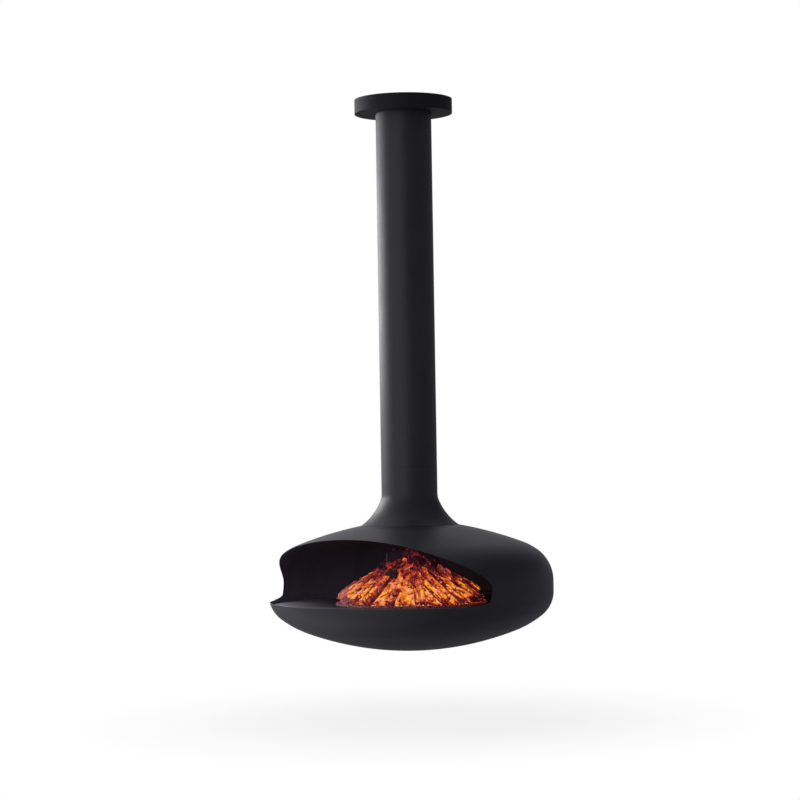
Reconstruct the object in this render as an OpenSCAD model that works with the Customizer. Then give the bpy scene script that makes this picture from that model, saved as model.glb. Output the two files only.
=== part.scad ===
// Hanging fireplace: a wide saucer-shaped firebox with a lens-shaped mouth, carried by a
// round flue pipe that turns in a ball race behind a ceiling rose.
// The ceiling's face is the plane z = 0, the flue's axis is Z, and the mouth faces -Y.
// Heights are given as a drop: the distance below the ceiling's face.

/* [Body] */
// Outside diameter of the body at its widest
body_d = 1244; // [1230:2:1270]
// Thickness of the steel of the hood and the bowl
shell_t = 4; // [3:0.5:5]
// Drop of the lower edge of the upright band round the widest part
band_drop = 2160; // [2140:1:2172]
// Height of the upright band
band_h = 47; // [38:1:56]
// Drop of the lip, where the hood is welded to the bowl
lip_drop = 2193; // [2186:1:2200]
// Radius of the hood's shoulder, next to the band
shoulder_r = 165; // [158:1:170]
// Radius of the hood's haunch, above the shoulder
haunch_r = 276; // [260:1:290]
// Radius of the hood's wide crown
crown_r = 1645; // [1570:5:1700]
// Radius of the bowl's bilge, below the band
bilge_r = 131; // [124:1:138]
// Radius of the bowl's flank, between the bilge and the dished bottom
flank_r = 434; // [400:2:460]

/* [Mouth] */
// Width of the mouth at its widest place, seen from the front
mouth_w = 1190; // [1120:2:1196]
// Height of the mouth's arched top above its widest place
mouth_rise = 203; // [170:1:206]
// Drop of the mouth's widest place
mouth_drop = 2119; // [2112:1:2126]

/* [Flue pipe and neck] */
// Outside diameter of the flue pipe
pipe_d = 245; // [240:1:247]
// Thickness of the pipe and the neck
pipe_t = 3; // [2:0.5:3]
// Radius at the start of the neck's flare
flare_r = 76; // [60:1:90]
// Angle through which that start turns
flare_turn = 22; // [18:1:26]
// Radius of the wider skirt that follows it down to the hood
skirt_r = 248; // [235:1:280]
// Length of straight tube at the neck's top, which holds the damper
neck_tube = 118; // [116:1:140]

/* [Ceiling rose and plate] */
// Outside diameter of the rose
rose_d = 429; // [426:1:440]
// Depth of the rose
rose_h = 62; // [61:1:70]
// Thickness of the rose
rose_t = 2; // [1.5:0.1:2]
// Outside diameter of the ceiling plate
plate_d = 410; // [406:1:412]
// Thickness of the ceiling plate
plate_t = 8; // [8:1:8]
// Diameter of the circle of the ceiling bolts
bolt_circle = 380; // [378:1:382]
// Number of ceiling bolts
bolt_count = 6; // [6:3:6]
// Diameter of a ceiling bolt's hole
bolt_hole = 11; // [9:0.5:11]
// Inside diameter of the socket for the building's flue
socket_d = 201; // [198:0.5:201]

/* [Swivel bearing] */
// Diameter of a ball
ball_d = 10; // [10:0.5:10]
// Number of balls
ball_count = 24; // [12:1:36]
// Diameter of the circle of the balls' centres
ball_circle = 276; // [275:1:277]

/* [Hearth floor] */
// Distance of the floor below the lip
floor_depth = 14; // [12:1:16]
// Thickness of the floor plate
floor_t = 4; // [3:1:5]
// Thickness of the insulating board under the floor
board_t = 24; // [20:1:26]
// Number of brackets under the floor
bracket_count = 8; // [4:1:12]

/* [Damper] */
// Diameter of the damper's shaft
shaft_d = 14; // [13:0.5:15]
// Diameter of the damper's plate
damper_d = 228; // [220:1:229]
// Length of the lever, from the shaft's middle to its knob
lever_l = 205; // [195:1:210]

/* [Fire] */
// Outside diameter of the fire tray
tray_d = 660; // [650:2:680]
// Height of the tray's rim
tray_h = 8; // [6:1:10]
// Radius of a long or short log at its foot
log_foot_r = 20; // [16:1:21]
// Radius of a top log at its foot
top_log_r = 14; // [10:1:15]

/* [Hidden] */
$fn = 96;

// How far a faceted outline may stray from its arc
curve_tolerance = 0.1;
// Gap between pieces that are welded or pressed together
seat_gap = 0.1;
// Gap round a screw, and round the balls in their cage
screw_gap = 0.15;
// Radial gap of a running fit
running_gap = 0.05;
// How far a cutter runs past what it cuts
past = 1;

body_r = body_d / 2;
pipe_r = pipe_d / 2;
pipe_in_r = pipe_r - pipe_t;

// Angles of the arcs that make up the hood and the bowl
shoulder_turn = 54.7;
haunch_turn = 14.3;
crown_turn = 10.1;
bilge_turn = 52.2;
flank_turn = 16.9;

function left_of(heading) = [-sin(heading), cos(heading)];

function arc_steps(radius, turn) =
    max(2, ceil(abs(turn) / (2 * acos(1 - curve_tolerance / radius))));

// Points after p along stretches of [radius, turn, length], starting at a heading.
// A stretch of radius 0 is straight, and a turn to the left is positive.
function run_along(p, heading, stretches, i = 0) =
    i == len(stretches) ? [] :
    let (radius = stretches[i][0])
    let (turn = stretches[i][1])
    let (side = sign(turn))
    let (centre = p + radius * side * left_of(heading))
    let (steps = radius == 0 ? 1 : arc_steps(radius, turn))
    let (points = radius == 0
        ? [p + stretches[i][2] * [cos(heading), sin(heading)]]
        : [for (k = [1:steps]) centre - radius * side * left_of(heading + turn * k / steps)])
    concat(points, run_along(points[steps - 1], heading + turn, stretches, i + 1));

// The same stretches, moved to the left by a distance
function moved_left(stretches, distance) =
    [for (s = stretches) [s[0] == 0 ? 0 : s[0] - distance * sign(s[1]), s[1], s[2]]];

function backwards(points) = [for (i = [len(points) - 1:-1:0]) points[i]];

function last_of(points) = points[len(points) - 1];

// A path and its start
function path(p, heading, stretches) = concat([p], run_along(p, heading, stretches));

// The path that runs at a distance to the left of another
function path_beside(p, heading, stretches, distance) =
    path(p + distance * left_of(heading), heading, moved_left(stretches, distance));

// Points on the axis are set exactly on it
function on_axis(points) = [for (p = points) [p[0] < 0.001 ? 0 : p[0], p[1]]];

// Outline of the hood, from the lip up to its crown
lip_turn = asin((lip_drop - band_drop) / bilge_r);
lip_r = body_r - bilge_r * (1 - cos(lip_turn));
lip_point = [lip_r, -lip_drop];
hood_stretches = [
    [bilge_r, lip_turn, 0],
    [0, 0, band_h],
    [shoulder_r, shoulder_turn, 0],
    [haunch_r, haunch_turn, 0],
    [crown_r, crown_turn, 0]
];
hood_outside = path(lip_point, 90 - lip_turn, hood_stretches);
hood_inside = path_beside(lip_point, 90 - lip_turn, hood_stretches, shell_t);
seat_r = last_of(hood_outside)[0];
seat_drop = -last_of(hood_outside)[1];
crown_under_drop = -last_of(hood_inside)[1];

// Outline of the bowl, from the lip down to the middle of its dished bottom
dish_turn = 90 - bilge_turn - flank_turn;
flank_end_r = body_r - bilge_r * (1 - cos(bilge_turn))
    - flank_r * (cos(bilge_turn) - cos(bilge_turn + flank_turn));
dish_r = flank_end_r / sin(dish_turn);
bowl_stretches = [
    [bilge_r, lip_turn - bilge_turn, 0],
    [flank_r, -flank_turn, 0],
    [dish_r, -dish_turn, 0]
];
bowl_outside = path(lip_point, -90 - lip_turn, bowl_stretches);
bowl_inside = path_beside(lip_point, -90 - lip_turn, bowl_stretches, -shell_t);

// Radius of the bowl's inside at a drop within its bilge
function bowl_inside_r(drop) =
    let (inner = bilge_r - shell_t)
    body_r - bilge_r + sqrt(inner * inner - pow(drop - band_drop, 2));

// Right half of the mouth's outline, seen from the front: an arched top, a side that follows
// a taller ellipse, and a rounded corner that ends in a low tongue on the lip
mouth_side_h = 470;
mouth_corner_w = 46;
mouth_corner_h = 20;
mouth_tongue_h = 2.5;
corner_top_drop = lip_drop - mouth_tongue_h - mouth_corner_h;

function mouth_side_x(drop) =
    let (fall = (drop - mouth_drop) / mouth_side_h)
    mouth_w / 2 * sqrt(1 - fall * fall);

mouth_corner_x = mouth_side_x(corner_top_drop) - mouth_corner_w;

mouth_half = concat(
    [for (a = [90:-5:0]) [mouth_w / 2 * cos(a), mouth_rise * sin(a) - mouth_drop]],
    [for (i = [1:3])
        let (drop = mouth_drop + (corner_top_drop - mouth_drop) * i / 3)
        [mouth_side_x(drop), -drop]],
    [for (a = [15:15:90])
        [mouth_corner_x + mouth_corner_w * cos(a), -corner_top_drop - mouth_corner_h * sin(a)]],
    [[mouth_corner_x, -lip_drop - shell_t]]
);

// The whole outline: the half, and the half mirrored without its point on the middle line
mouth_outline = concat(
    mouth_half,
    [for (i = [len(mouth_half) - 1:-1:1]) [-mouth_half[i][0], mouth_half[i][1]]]
);

// Neck: the skirt turns until it reaches the hood at the seat
skirt_start_r = pipe_r + flare_r * (1 - cos(flare_turn));
skirt_end_turn = acos(cos(flare_turn) - (seat_r - skirt_start_r) / skirt_r);
flare_drop = seat_drop - flare_r * sin(flare_turn)
    - skirt_r * (sin(skirt_end_turn) - sin(flare_turn));
neck_top_drop = flare_drop - neck_tube;
neck_stretches = [
    [0, 0, neck_tube],
    [flare_r, flare_turn, 0],
    [skirt_r, skirt_end_turn - flare_turn, 0]
];

// Bolted joint between the neck and the hood
throat_r = 165;
neck_ring_r = 200;
neck_ring_t = 5;
neck_bolt_r = 181;
neck_bolt_count = 8;
m8_r = 4;
m8_hex_r = 7.5;
m8_head_h = 5.5;
m8_nut_h = 6.5;

// Sleeve inside the joint between the pipe and the neck
sleeve_t = 3;
sleeve_l = 120;

// Stack of the bearing, from the bottom of its housing up
housing_drop = 54;
housing_t = 6;
housing_wall_r = 160;
housing_wall_t = 4;
housing_flange_r = 178;
housing_flange_t = 5;
housing_screw_r = 169;
housing_screw_count = 8;
pipe_clearance = 4;
race_h = 7;
race_half_w = 11;
race_gap = 4;
cage_t = 2;
cage_half_w = 10;
ball_r = ball_d / 2;
ball_ring_r = ball_circle / 2;
race_low_drop = housing_drop - housing_t - race_h;
ball_drop = race_low_drop - race_gap / 2;
race_high_drop = race_low_drop - race_gap - race_h;
pivot_t = 8;
pivot_r = 152;
pipe_top_drop = race_high_drop - pivot_t;
m6_r = 3;
m6_head_r = 5;
m6_head_h = 4;

// Socket for the building's flue, and its rope seal
socket_r = socket_d / 2;
socket_t = 2;
socket_depth = 50;
socket_stop_t = 4;
socket_stop_w = 4;
socket_flange_r = 118;
socket_flange_t = 3;
socket_end_drop = 95;
seal_drop = 72;
seal_room = 0.6;
seal_r = (pipe_in_r - socket_r - socket_t) / 2 - seal_room;
bead_w = 4.5;
bead_t = 2;

// Rose fixings
rose_hole_r = pipe_r + 2.5;
rose_fixing_count = 3;
rose_fixing_turn = 30;
rose_bracket_l = 14;
rose_bracket_w = 20;
rose_bracket_h = 14;
m5_r = 2.5;
m5_head_r = 4.6;
m5_head_h = 2;

// Floor
floor_drop = lip_drop + floor_depth;
floor_under_drop = floor_drop + floor_t;
floor_r = bowl_inside_r(floor_under_drop) - 2;
board_r = 555;
bracket_t = 4;
bracket_w = 40;
bracket_shelf = 36;
floor_screw_r = 580;
floor_screw_l = 10;

// Damper
shaft_r = shaft_d / 2;
shaft_drop = flare_drop - 8;
shaft_half_l = 114.5;
shaft_flat = 4.5;
bush_r = 13;
bush_in = 104;
bush_bore_end = 115;
damper_r = damper_d / 2;
damper_t = 3;
damper_half_w = 102;
damper_screw_x = 45;
lever_r = 4.5;
lever_turn = 45;
lever_thread_start = 2;
lever_thread_end = 9;
knob_r = 13;

// Fire tray, embers and logs
tray_r = tray_d / 2;
tray_t = 2.5;
tray_floor_drop = floor_drop - tray_t;
log_count = 8;
log_step = 360 / log_count;

// Shape of a split log across its grain, for a log of radius 1
split_log = [
    [-0.95, -0.25], [-0.55, -0.85], [0.1, -0.98], [0.75, -0.62],
    [0.98, 0.1], [0.55, 0.8], [-0.2, 0.95], [-0.8, 0.5]
];

module ring(inner_r, outer_r, top_drop, h) {
    translate([0, 0, -top_drop - h])
        difference() {
            cylinder(r = outer_r, h = h);
            translate([0, 0, -past])
                cylinder(r = inner_r, h = h + 2 * past);
        }
}

// Copies of a piece on a circle round the axis
module around(count, radius, first = 0) {
    for (i = [0:count - 1])
        rotate([0, 0, first + 360 * i / count])
            translate([radius, 0, 0])
                children();
}

// Upright hole or shank between two drops
module upright(radius, top_drop, bottom_drop) {
    translate([0, 0, -bottom_drop])
        cylinder(r = radius, h = bottom_drop - top_drop);
}

module ceiling_plate() {
    color("dimgray")
        difference() {
            ring(socket_r + socket_t + seat_gap, plate_d / 2, 0, plate_t);
            around(bolt_count, bolt_circle / 2)
                upright(bolt_hole / 2, -past, plate_t + past);
            around(housing_screw_count, housing_screw_r, 22.5)
                upright(m6_r + screw_gap, -past, plate_t + past);
        }
}

module flue_socket() {
    color("silver") {
        ring(socket_r, socket_r + socket_t, 0, socket_end_drop);
        ring(socket_r - socket_stop_w, socket_r + socket_t / 2, socket_depth, socket_stop_t);
        ring(socket_r + socket_t / 2, socket_flange_r, plate_t, socket_flange_t);
        for (side = [-1, 1])
            ring(socket_r + socket_t / 2, socket_r + socket_t + bead_w,
                seal_drop + side * (seal_r + bead_t) - bead_t / 2, bead_t);
    }
}

module flue_seal() {
    color("ivory")
        translate([0, 0, -seal_drop])
            rotate_extrude()
                translate([(socket_r + socket_t + pipe_in_r) / 2, 0])
                    circle(r = seal_r, $fn = 32);
}

module bearing_housing() {
    flange_top = plate_t;
    inner_r = housing_wall_r - housing_wall_t;
    color("gray")
        difference() {
            rotate_extrude()
                polygon([
                    [inner_r, -flange_top],
                    [housing_flange_r, -flange_top],
                    [housing_flange_r, -flange_top - housing_flange_t],
                    [housing_wall_r, -flange_top - housing_flange_t],
                    [housing_wall_r, -housing_drop],
                    [pipe_r + pipe_clearance, -housing_drop],
                    [pipe_r + pipe_clearance, -housing_drop + housing_t],
                    [inner_r, -housing_drop + housing_t]
                ]);
            around(housing_screw_count, housing_screw_r, 22.5)
                upright(m6_r + screw_gap, flange_top - past, flange_top + housing_flange_t + past);
        }
}

module housing_screws() {
    head_top = plate_t + housing_flange_t;
    color("silver")
        around(housing_screw_count, housing_screw_r, 22.5) {
            upright(m6_r, 0.5, head_top + m6_head_h / 2);
            upright(m6_head_r, head_top, head_top + m6_head_h);
        }
}

// Half of the ball race: a ring with a groove in the face that meets the balls
module race(top_drop) {
    color("lightsteelblue")
        rotate_extrude()
            difference() {
                translate([ball_ring_r - race_half_w, -top_drop - race_h])
                    square([2 * race_half_w, race_h]);
                translate([ball_ring_r, -ball_drop])
                    circle(r = ball_r + running_gap, $fn = 48);
            }
}

module lower_race() {
    race(race_low_drop);
}

module upper_race() {
    race(race_high_drop);
}

module ball_cage() {
    color("goldenrod")
        difference() {
            ring(ball_ring_r - cage_half_w, ball_ring_r + cage_half_w, ball_drop - cage_t / 2, cage_t);
            around(ball_count, ball_ring_r)
                upright(ball_r + screw_gap, ball_drop - cage_t, ball_drop + cage_t);
        }
}

module bearing_balls() {
    color("gainsboro")
        around(ball_count, ball_ring_r)
            translate([0, 0, -ball_drop])
                sphere(r = ball_r, $fn = 32);
}

module ceiling_rose() {
    rose_r = rose_d / 2;
    color([0.05, 0.05, 0.06])
        difference() {
            rotate_extrude()
                polygon([
                    [rose_r, 0],
                    [rose_r, -rose_h],
                    [rose_hole_r, -rose_h],
                    [rose_hole_r, -rose_h + rose_t],
                    [rose_r - rose_t, -rose_h + rose_t],
                    [rose_r - rose_t, 0]
                ]);
            rose_screw_places()
                cylinder(r = m5_head_r + screw_gap, h = rose_t + 2 * past);
        }
}

// Places of the rose's screws, each looking outwards along its screw
module rose_screw_places() {
    around(rose_fixing_count, rose_d / 2 - rose_t - past, rose_fixing_turn)
        translate([0, 0, -plate_t - rose_bracket_h / 2])
            rotate([0, 90, 0])
                children();
}

module rose_brackets() {
    wall_r = rose_d / 2 - rose_t;
    color("gray")
        difference() {
            intersection() {
                around(rose_fixing_count, wall_r - rose_bracket_l, rose_fixing_turn)
                    translate([0, -rose_bracket_w / 2, -plate_t - rose_bracket_h])
                        cube([rose_bracket_l, rose_bracket_w, rose_bracket_h]);
                upright(wall_r - seat_gap, 0, rose_h);
            }
            rose_screw_places()
                translate([0, 0, -rose_bracket_l - past])
                    cylinder(r = m5_r + screw_gap, h = rose_bracket_l + 4 * past);
        }
}

module rose_screws() {
    shank_l = rose_bracket_l - 2;
    color([0.08, 0.08, 0.09])
        rose_screw_places() {
            translate([0, 0, past])
                cylinder(r = m5_head_r, h = rose_t);
            translate([0, 0, past - shank_l])
                cylinder(r = m5_r, h = shank_l + rose_t / 2);
        }
}

module pivot_flange() {
    color("gray")
        ring(pipe_r + seat_gap, pivot_r, pipe_top_drop, pivot_t);
}

module flue_pipe() {
    color([0.09, 0.09, 0.1])
        ring(pipe_in_r, pipe_r, pipe_top_drop, neck_top_drop - pipe_top_drop);
}

module pipe_sleeve() {
    color("dimgray")
        ring(pipe_in_r - seat_gap - sleeve_t, pipe_in_r - seat_gap, neck_top_drop - sleeve_l / 2, sleeve_l);
}

module neck() {
    start = [pipe_r, -neck_top_drop];
    color([0.09, 0.09, 0.1])
        rotate_extrude()
            intersection() {
                polygon(concat(
                    path(start, -90, neck_stretches),
                    backwards(path_beside(start, -90, neck_stretches, -pipe_t))
                ));
                translate([0, -seat_drop])
                    square([body_r, seat_drop]);
            }
}

module neck_ring() {
    color("dimgray")
        difference() {
            ring(throat_r, neck_ring_r, seat_drop - neck_ring_t, neck_ring_t);
            neck_bolt_holes();
        }
}

module neck_bolt_holes() {
    around(neck_bolt_count, neck_bolt_r, 22.5)
        upright(m8_r + screw_gap, seat_drop - neck_ring_t - past, crown_under_drop + past);
}

module neck_bolts() {
    color("silver")
        around(neck_bolt_count, neck_bolt_r, 22.5) {
            upright(m8_r, seat_drop - neck_ring_t - m8_nut_h - 2, crown_under_drop + m8_head_h / 2);
            translate([0, 0, -crown_under_drop - m8_head_h])
                cylinder(r = m8_hex_r, h = m8_head_h, $fn = 6);
        }
}

module neck_nuts() {
    nut_bottom = seat_drop - neck_ring_t;
    color("silver")
        around(neck_bolt_count, neck_bolt_r, 22.5)
            difference() {
                translate([0, 0, -nut_bottom])
                    cylinder(r = m8_hex_r, h = m8_nut_h, $fn = 6);
                upright(m8_r + seat_gap, nut_bottom - m8_nut_h - past, nut_bottom + past);
            }
}

module hood() {
    color([0.1, 0.1, 0.11])
        difference() {
            rotate_extrude()
                polygon(concat(
                    hood_outside,
                    [[throat_r, -seat_drop], [throat_r, -crown_under_drop]],
                    backwards(hood_inside)
                ));
            rotate([90, 0, 0])
                linear_extrude(height = body_d)
                    polygon(mouth_outline);
            neck_bolt_holes();
        }
}

module bowl() {
    color([0.1, 0.1, 0.11])
        rotate_extrude()
            polygon(on_axis(concat(bowl_outside, backwards(bowl_inside))));
}

module hearth_plate() {
    color([0.16, 0.16, 0.17])
        difference() {
            upright(floor_r, floor_drop, floor_under_drop);
            around(bracket_count, floor_screw_r, 22.5) {
                upright(m6_r + screw_gap, floor_drop - past, floor_under_drop + past);
                floor_screw_head(screw_gap);
            }
        }
}

// Countersunk head, flush with the floor
module floor_screw_head(gap) {
    translate([0, 0, -floor_drop - m6_r])
        cylinder(r1 = m6_r + gap, r2 = 2 * m6_r + gap, h = m6_r);
}

module floor_screws() {
    color([0.2, 0.2, 0.21])
        around(bracket_count, floor_screw_r, 22.5) {
            floor_screw_head(0);
            upright(m6_r, floor_drop + m6_r / 2, floor_drop + floor_screw_l);
        }
}

// Shelf bracket: its top leg carries the floor and its foot carries the board
module floor_bracket() {
    web_r = board_r + 1;
    leg_bottom = floor_under_drop + bracket_t;
    foot_top = floor_under_drop + board_t;
    leg_end_r = bowl_inside_r(leg_bottom) - past;
    rotate([90, 0, 0])
        translate([0, 0, -bracket_w / 2])
            linear_extrude(height = bracket_w)
                polygon([
                    [web_r, -floor_under_drop],
                    [leg_end_r, -floor_under_drop],
                    [leg_end_r, -leg_bottom],
                    [web_r + bracket_t, -leg_bottom],
                    [web_r + bracket_t, -foot_top - bracket_t],
                    [web_r - bracket_shelf, -foot_top - bracket_t],
                    [web_r - bracket_shelf, -foot_top],
                    [web_r, -foot_top]
                ]);
}

module floor_brackets() {
    color("dimgray")
        difference() {
            around(bracket_count, 0, 22.5)
                floor_bracket();
            around(bracket_count, floor_screw_r, 22.5)
                upright(m6_r + screw_gap, floor_under_drop - past, floor_under_drop + bracket_t + past);
        }
}

module insulation_board() {
    color("khaki")
        upright(board_r, floor_under_drop, floor_under_drop + board_t);
}

// Turns a piece made along +Z from the shaft's middle so that it lies along +X
module along_shaft() {
    translate([0, 0, -shaft_drop])
        rotate([0, 90, 0])
            children();
}

module damper_bushes() {
    color("dimgray")
        intersection() {
            for (side = [0, 180])
                rotate([0, 0, side])
                    along_shaft()
                        difference() {
                            translate([0, 0, bush_in])
                                cylinder(r = bush_r, h = pipe_r - bush_in);
                            translate([0, 0, bush_in - past])
                                cylinder(r = shaft_r + running_gap, h = bush_bore_end - bush_in + past);
                        }
            upright(pipe_in_r - seat_gap, shaft_drop - 2 * bush_r, shaft_drop + 2 * bush_r);
        }
}

module damper_shaft() {
    color("silver")
        difference() {
            along_shaft()
                translate([0, 0, -shaft_half_l])
                    cylinder(r = shaft_r, h = 2 * shaft_half_l);
            translate([-damper_half_w - past, shaft_flat, -shaft_drop - shaft_r])
                cube([2 * (damper_half_w + past), shaft_r, 2 * shaft_r]);
            damper_screw_places(m5_r + screw_gap);
            along_lever()
                translate([0, 0, lever_thread_start - screw_gap])
                    cylinder(r = m6_r + screw_gap, h = shaft_r);
        }
}

// Rods along Y at the damper's screws
module damper_screw_places(radius) {
    for (x = [-damper_screw_x, damper_screw_x])
        translate([x, shaft_r + 2 * damper_t, -shaft_drop])
            rotate([90, 0, 0])
                cylinder(r = radius, h = 3 * shaft_r);
}

// The plate stands upright on the shaft's flat when the damper is open
module damper_plate() {
    color("dimgray")
        difference() {
            intersection() {
                translate([0, shaft_flat + damper_t, -shaft_drop])
                    rotate([90, 0, 0])
                        cylinder(r = damper_r, h = damper_t);
                translate([-damper_half_w, 0, -shaft_drop - damper_r])
                    cube([2 * damper_half_w, damper_r, 2 * damper_r]);
            }
            damper_screw_places(m5_r + screw_gap);
        }
}

module damper_screws() {
    head_y = shaft_flat + damper_t;
    color("silver")
        for (x = [-damper_screw_x, damper_screw_x])
            translate([x, head_y + m5_head_h, -shaft_drop])
                rotate([90, 0, 0]) {
                    cylinder(r = m5_head_r, h = m5_head_h);
                    cylinder(r = m5_r, h = m5_head_h + head_y + shaft_r + 5);
                }
}

module damper_nuts() {
    nut_h = 4;
    color("silver")
        for (x = [-damper_screw_x, damper_screw_x])
            translate([x, -shaft_r, -shaft_drop])
                rotate([90, 0, 0])
                    difference() {
                        cylinder(r = m5_head_r, h = nut_h, $fn = 6);
                        translate([0, 0, -past])
                            cylinder(r = m5_r + seat_gap, h = nut_h + 2 * past);
                    }
}

// Turns a piece made along +Z from the shaft's middle so that it lies along the lever,
// which points down and forwards when the damper is open
module along_lever() {
    translate([0, 0, -shaft_drop])
        rotate([180 - lever_turn, 0, 0])
            children();
}

module damper_lever() {
    color("silver")
        along_lever() {
            translate([0, 0, lever_thread_start])
                cylinder(r = m6_r, h = lever_thread_end - lever_thread_start + past);
            translate([0, 0, lever_thread_end])
                cylinder(r = lever_r, h = lever_l - lever_thread_end - 3);
        }
}

module damper_knob() {
    color("black")
        along_lever()
            difference() {
                translate([0, 0, lever_l])
                    sphere(r = knob_r);
                translate([0, 0, lever_l - 2 * knob_r])
                    cylinder(r = lever_r + seat_gap, h = 2 * knob_r - 2);
            }
}

module fire_tray() {
    color([0.12, 0.11, 0.11])
        translate([0, 0, -floor_drop])
            rotate_extrude()
                polygon([
                    [0, 0],
                    [tray_r, 0],
                    [tray_r, tray_h],
                    [tray_r - tray_t, tray_h],
                    [tray_r - tray_t, tray_t],
                    [0, tray_t]
                ]);
}

module ember_bed() {
    color("orangered")
        translate([0, 0, -tray_floor_drop])
            rotate_extrude()
                polygon([[0, 0], [270, 0], [262, 4], [50, 155], [0, 168]]);
}

// Split log in the plane of the axis, from [radius, height above the floor] at its foot
// to the same at its top
module split_log_between(foot, top, foot_r, top_r, roll) {
    lean = top - foot;
    translate([foot[0], 0, foot[1] - floor_drop])
        rotate([0, atan2(lean[0], lean[1]), 0])
            rotate([0, 0, roll])
                linear_extrude(height = norm(lean), scale = top_r / foot_r)
                    scale(foot_r)
                        polygon(split_log);
}

module long_log(i) {
    color("chocolate")
        rotate([0, 0, log_step * i])
            split_log_between([300, 22], [42, 184], log_foot_r, 12, 75 * i);
}

module short_log(i) {
    color("sienna")
        rotate([0, 0, log_step * (i + 0.5)])
            split_log_between([300, 22], [178, 99], log_foot_r, 16, 110 * i);
}

module top_log(i) {
    color("saddlebrown")
        rotate([0, 0, log_step * (i + 0.5)])
            split_log_between([140, 128], [46, 223], top_log_r, 11, 60 * i);
}

ceiling_plate();
flue_socket();
flue_seal();
bearing_housing();
housing_screws();
lower_race();
ceiling_rose();
rose_brackets();
rose_screws();
ball_cage();
bearing_balls();
upper_race();
pivot_flange();
flue_pipe();
pipe_sleeve();
neck();
neck_ring();
neck_bolts();
neck_nuts();
hood();
bowl();
hearth_plate();
floor_brackets();
floor_screws();
insulation_board();
damper_bushes();
damper_plate();
damper_shaft();
damper_screws();
damper_nuts();
damper_lever();
damper_knob();
fire_tray();
ember_bed();
long_log(0);  // long_log_1
long_log(1);  // long_log_2
long_log(2);  // long_log_3
long_log(3);  // long_log_4
long_log(4);  // long_log_5
long_log(5);  // long_log_6
long_log(6);  // long_log_7
long_log(7);  // long_log_8
short_log(0);  // short_log_1
short_log(1);  // short_log_2
short_log(2);  // short_log_3
short_log(3);  // short_log_4
short_log(4);  // short_log_5
short_log(5);  // short_log_6
short_log(6);  // short_log_7
short_log(7);  // short_log_8
top_log(0);  // top_log_1
top_log(1);  // top_log_2
top_log(2);  // top_log_3
top_log(3);  // top_log_4
top_log(4);  // top_log_5
top_log(5);  // top_log_6
top_log(6);  // top_log_7
top_log(7);  // top_log_8
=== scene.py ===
"""Looks of a hanging fireplace that turns under its ceiling rose.

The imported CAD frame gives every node's place. The painted shells and the fire are worked out
here as smooth surfaces over the same outlines, and every other node keeps its CAD shape and
gets its finish here. All sizes are metres, the ceiling's face is z = 0 and the mouth faces -Y.
"""

import math

import bpy
import numpy as np
from bpy.props import FloatProperty, FloatVectorProperty, IntProperty, PointerProperty
from mathutils import Matrix, Vector


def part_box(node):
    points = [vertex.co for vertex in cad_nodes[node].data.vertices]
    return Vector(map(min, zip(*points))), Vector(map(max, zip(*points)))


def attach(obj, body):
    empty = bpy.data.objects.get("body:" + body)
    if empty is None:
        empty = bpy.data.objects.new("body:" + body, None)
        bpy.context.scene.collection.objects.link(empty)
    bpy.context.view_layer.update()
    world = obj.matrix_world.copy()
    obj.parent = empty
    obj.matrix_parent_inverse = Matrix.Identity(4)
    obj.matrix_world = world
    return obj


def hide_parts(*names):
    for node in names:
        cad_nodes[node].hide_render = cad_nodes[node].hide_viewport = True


bl_info = {
    "name": "Hanging fireplace",
    "version": (1, 0, 0),
    "blender": (4, 5, 0),
    "location": "View3D > Sidebar > Fireplace",
    "description": "Builds the painted shells, the fire and the finishes of a hanging fireplace",
    "category": "Object",
}

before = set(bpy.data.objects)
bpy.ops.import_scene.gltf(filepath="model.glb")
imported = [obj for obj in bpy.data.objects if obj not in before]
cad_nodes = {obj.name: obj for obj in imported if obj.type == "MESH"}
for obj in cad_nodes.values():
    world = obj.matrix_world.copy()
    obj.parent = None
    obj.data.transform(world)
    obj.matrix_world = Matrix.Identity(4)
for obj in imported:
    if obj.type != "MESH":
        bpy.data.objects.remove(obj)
TURN = 2.0 * math.pi
# Width of the ground edge round a sheet
GROUND_EDGE = 0.0006

hood_low, hood_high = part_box("hood")
neck_low, neck_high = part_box("neck")
pipe_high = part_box("flue_pipe")[1]
floor_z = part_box("hearth_plate")[1].z
bowl_bottom_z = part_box("bowl")[0].z


# ---------------------------------------------------------------- sizes and colours


def length(name, note, default):
    return FloatProperty(name=name, description=note, default=default, unit="LENGTH", precision=4)


def turn(name, note, degrees):
    default = math.radians(degrees)
    return FloatProperty(name=name, description=note, default=default, unit="ROTATION")


def colour(name, note, default):
    return FloatVectorProperty(
        name=name, description=note, default=default, size=3, subtype="COLOR", min=0.0, max=1.0
    )


def share(name, note, default):
    return FloatProperty(
        name=name, description=note, default=default, subtype="FACTOR", min=0.0, max=1.0
    )


def number(name, note, default):
    kind = IntProperty if isinstance(default, int) else FloatProperty
    return kind(name=name, description=note, default=default)


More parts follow.
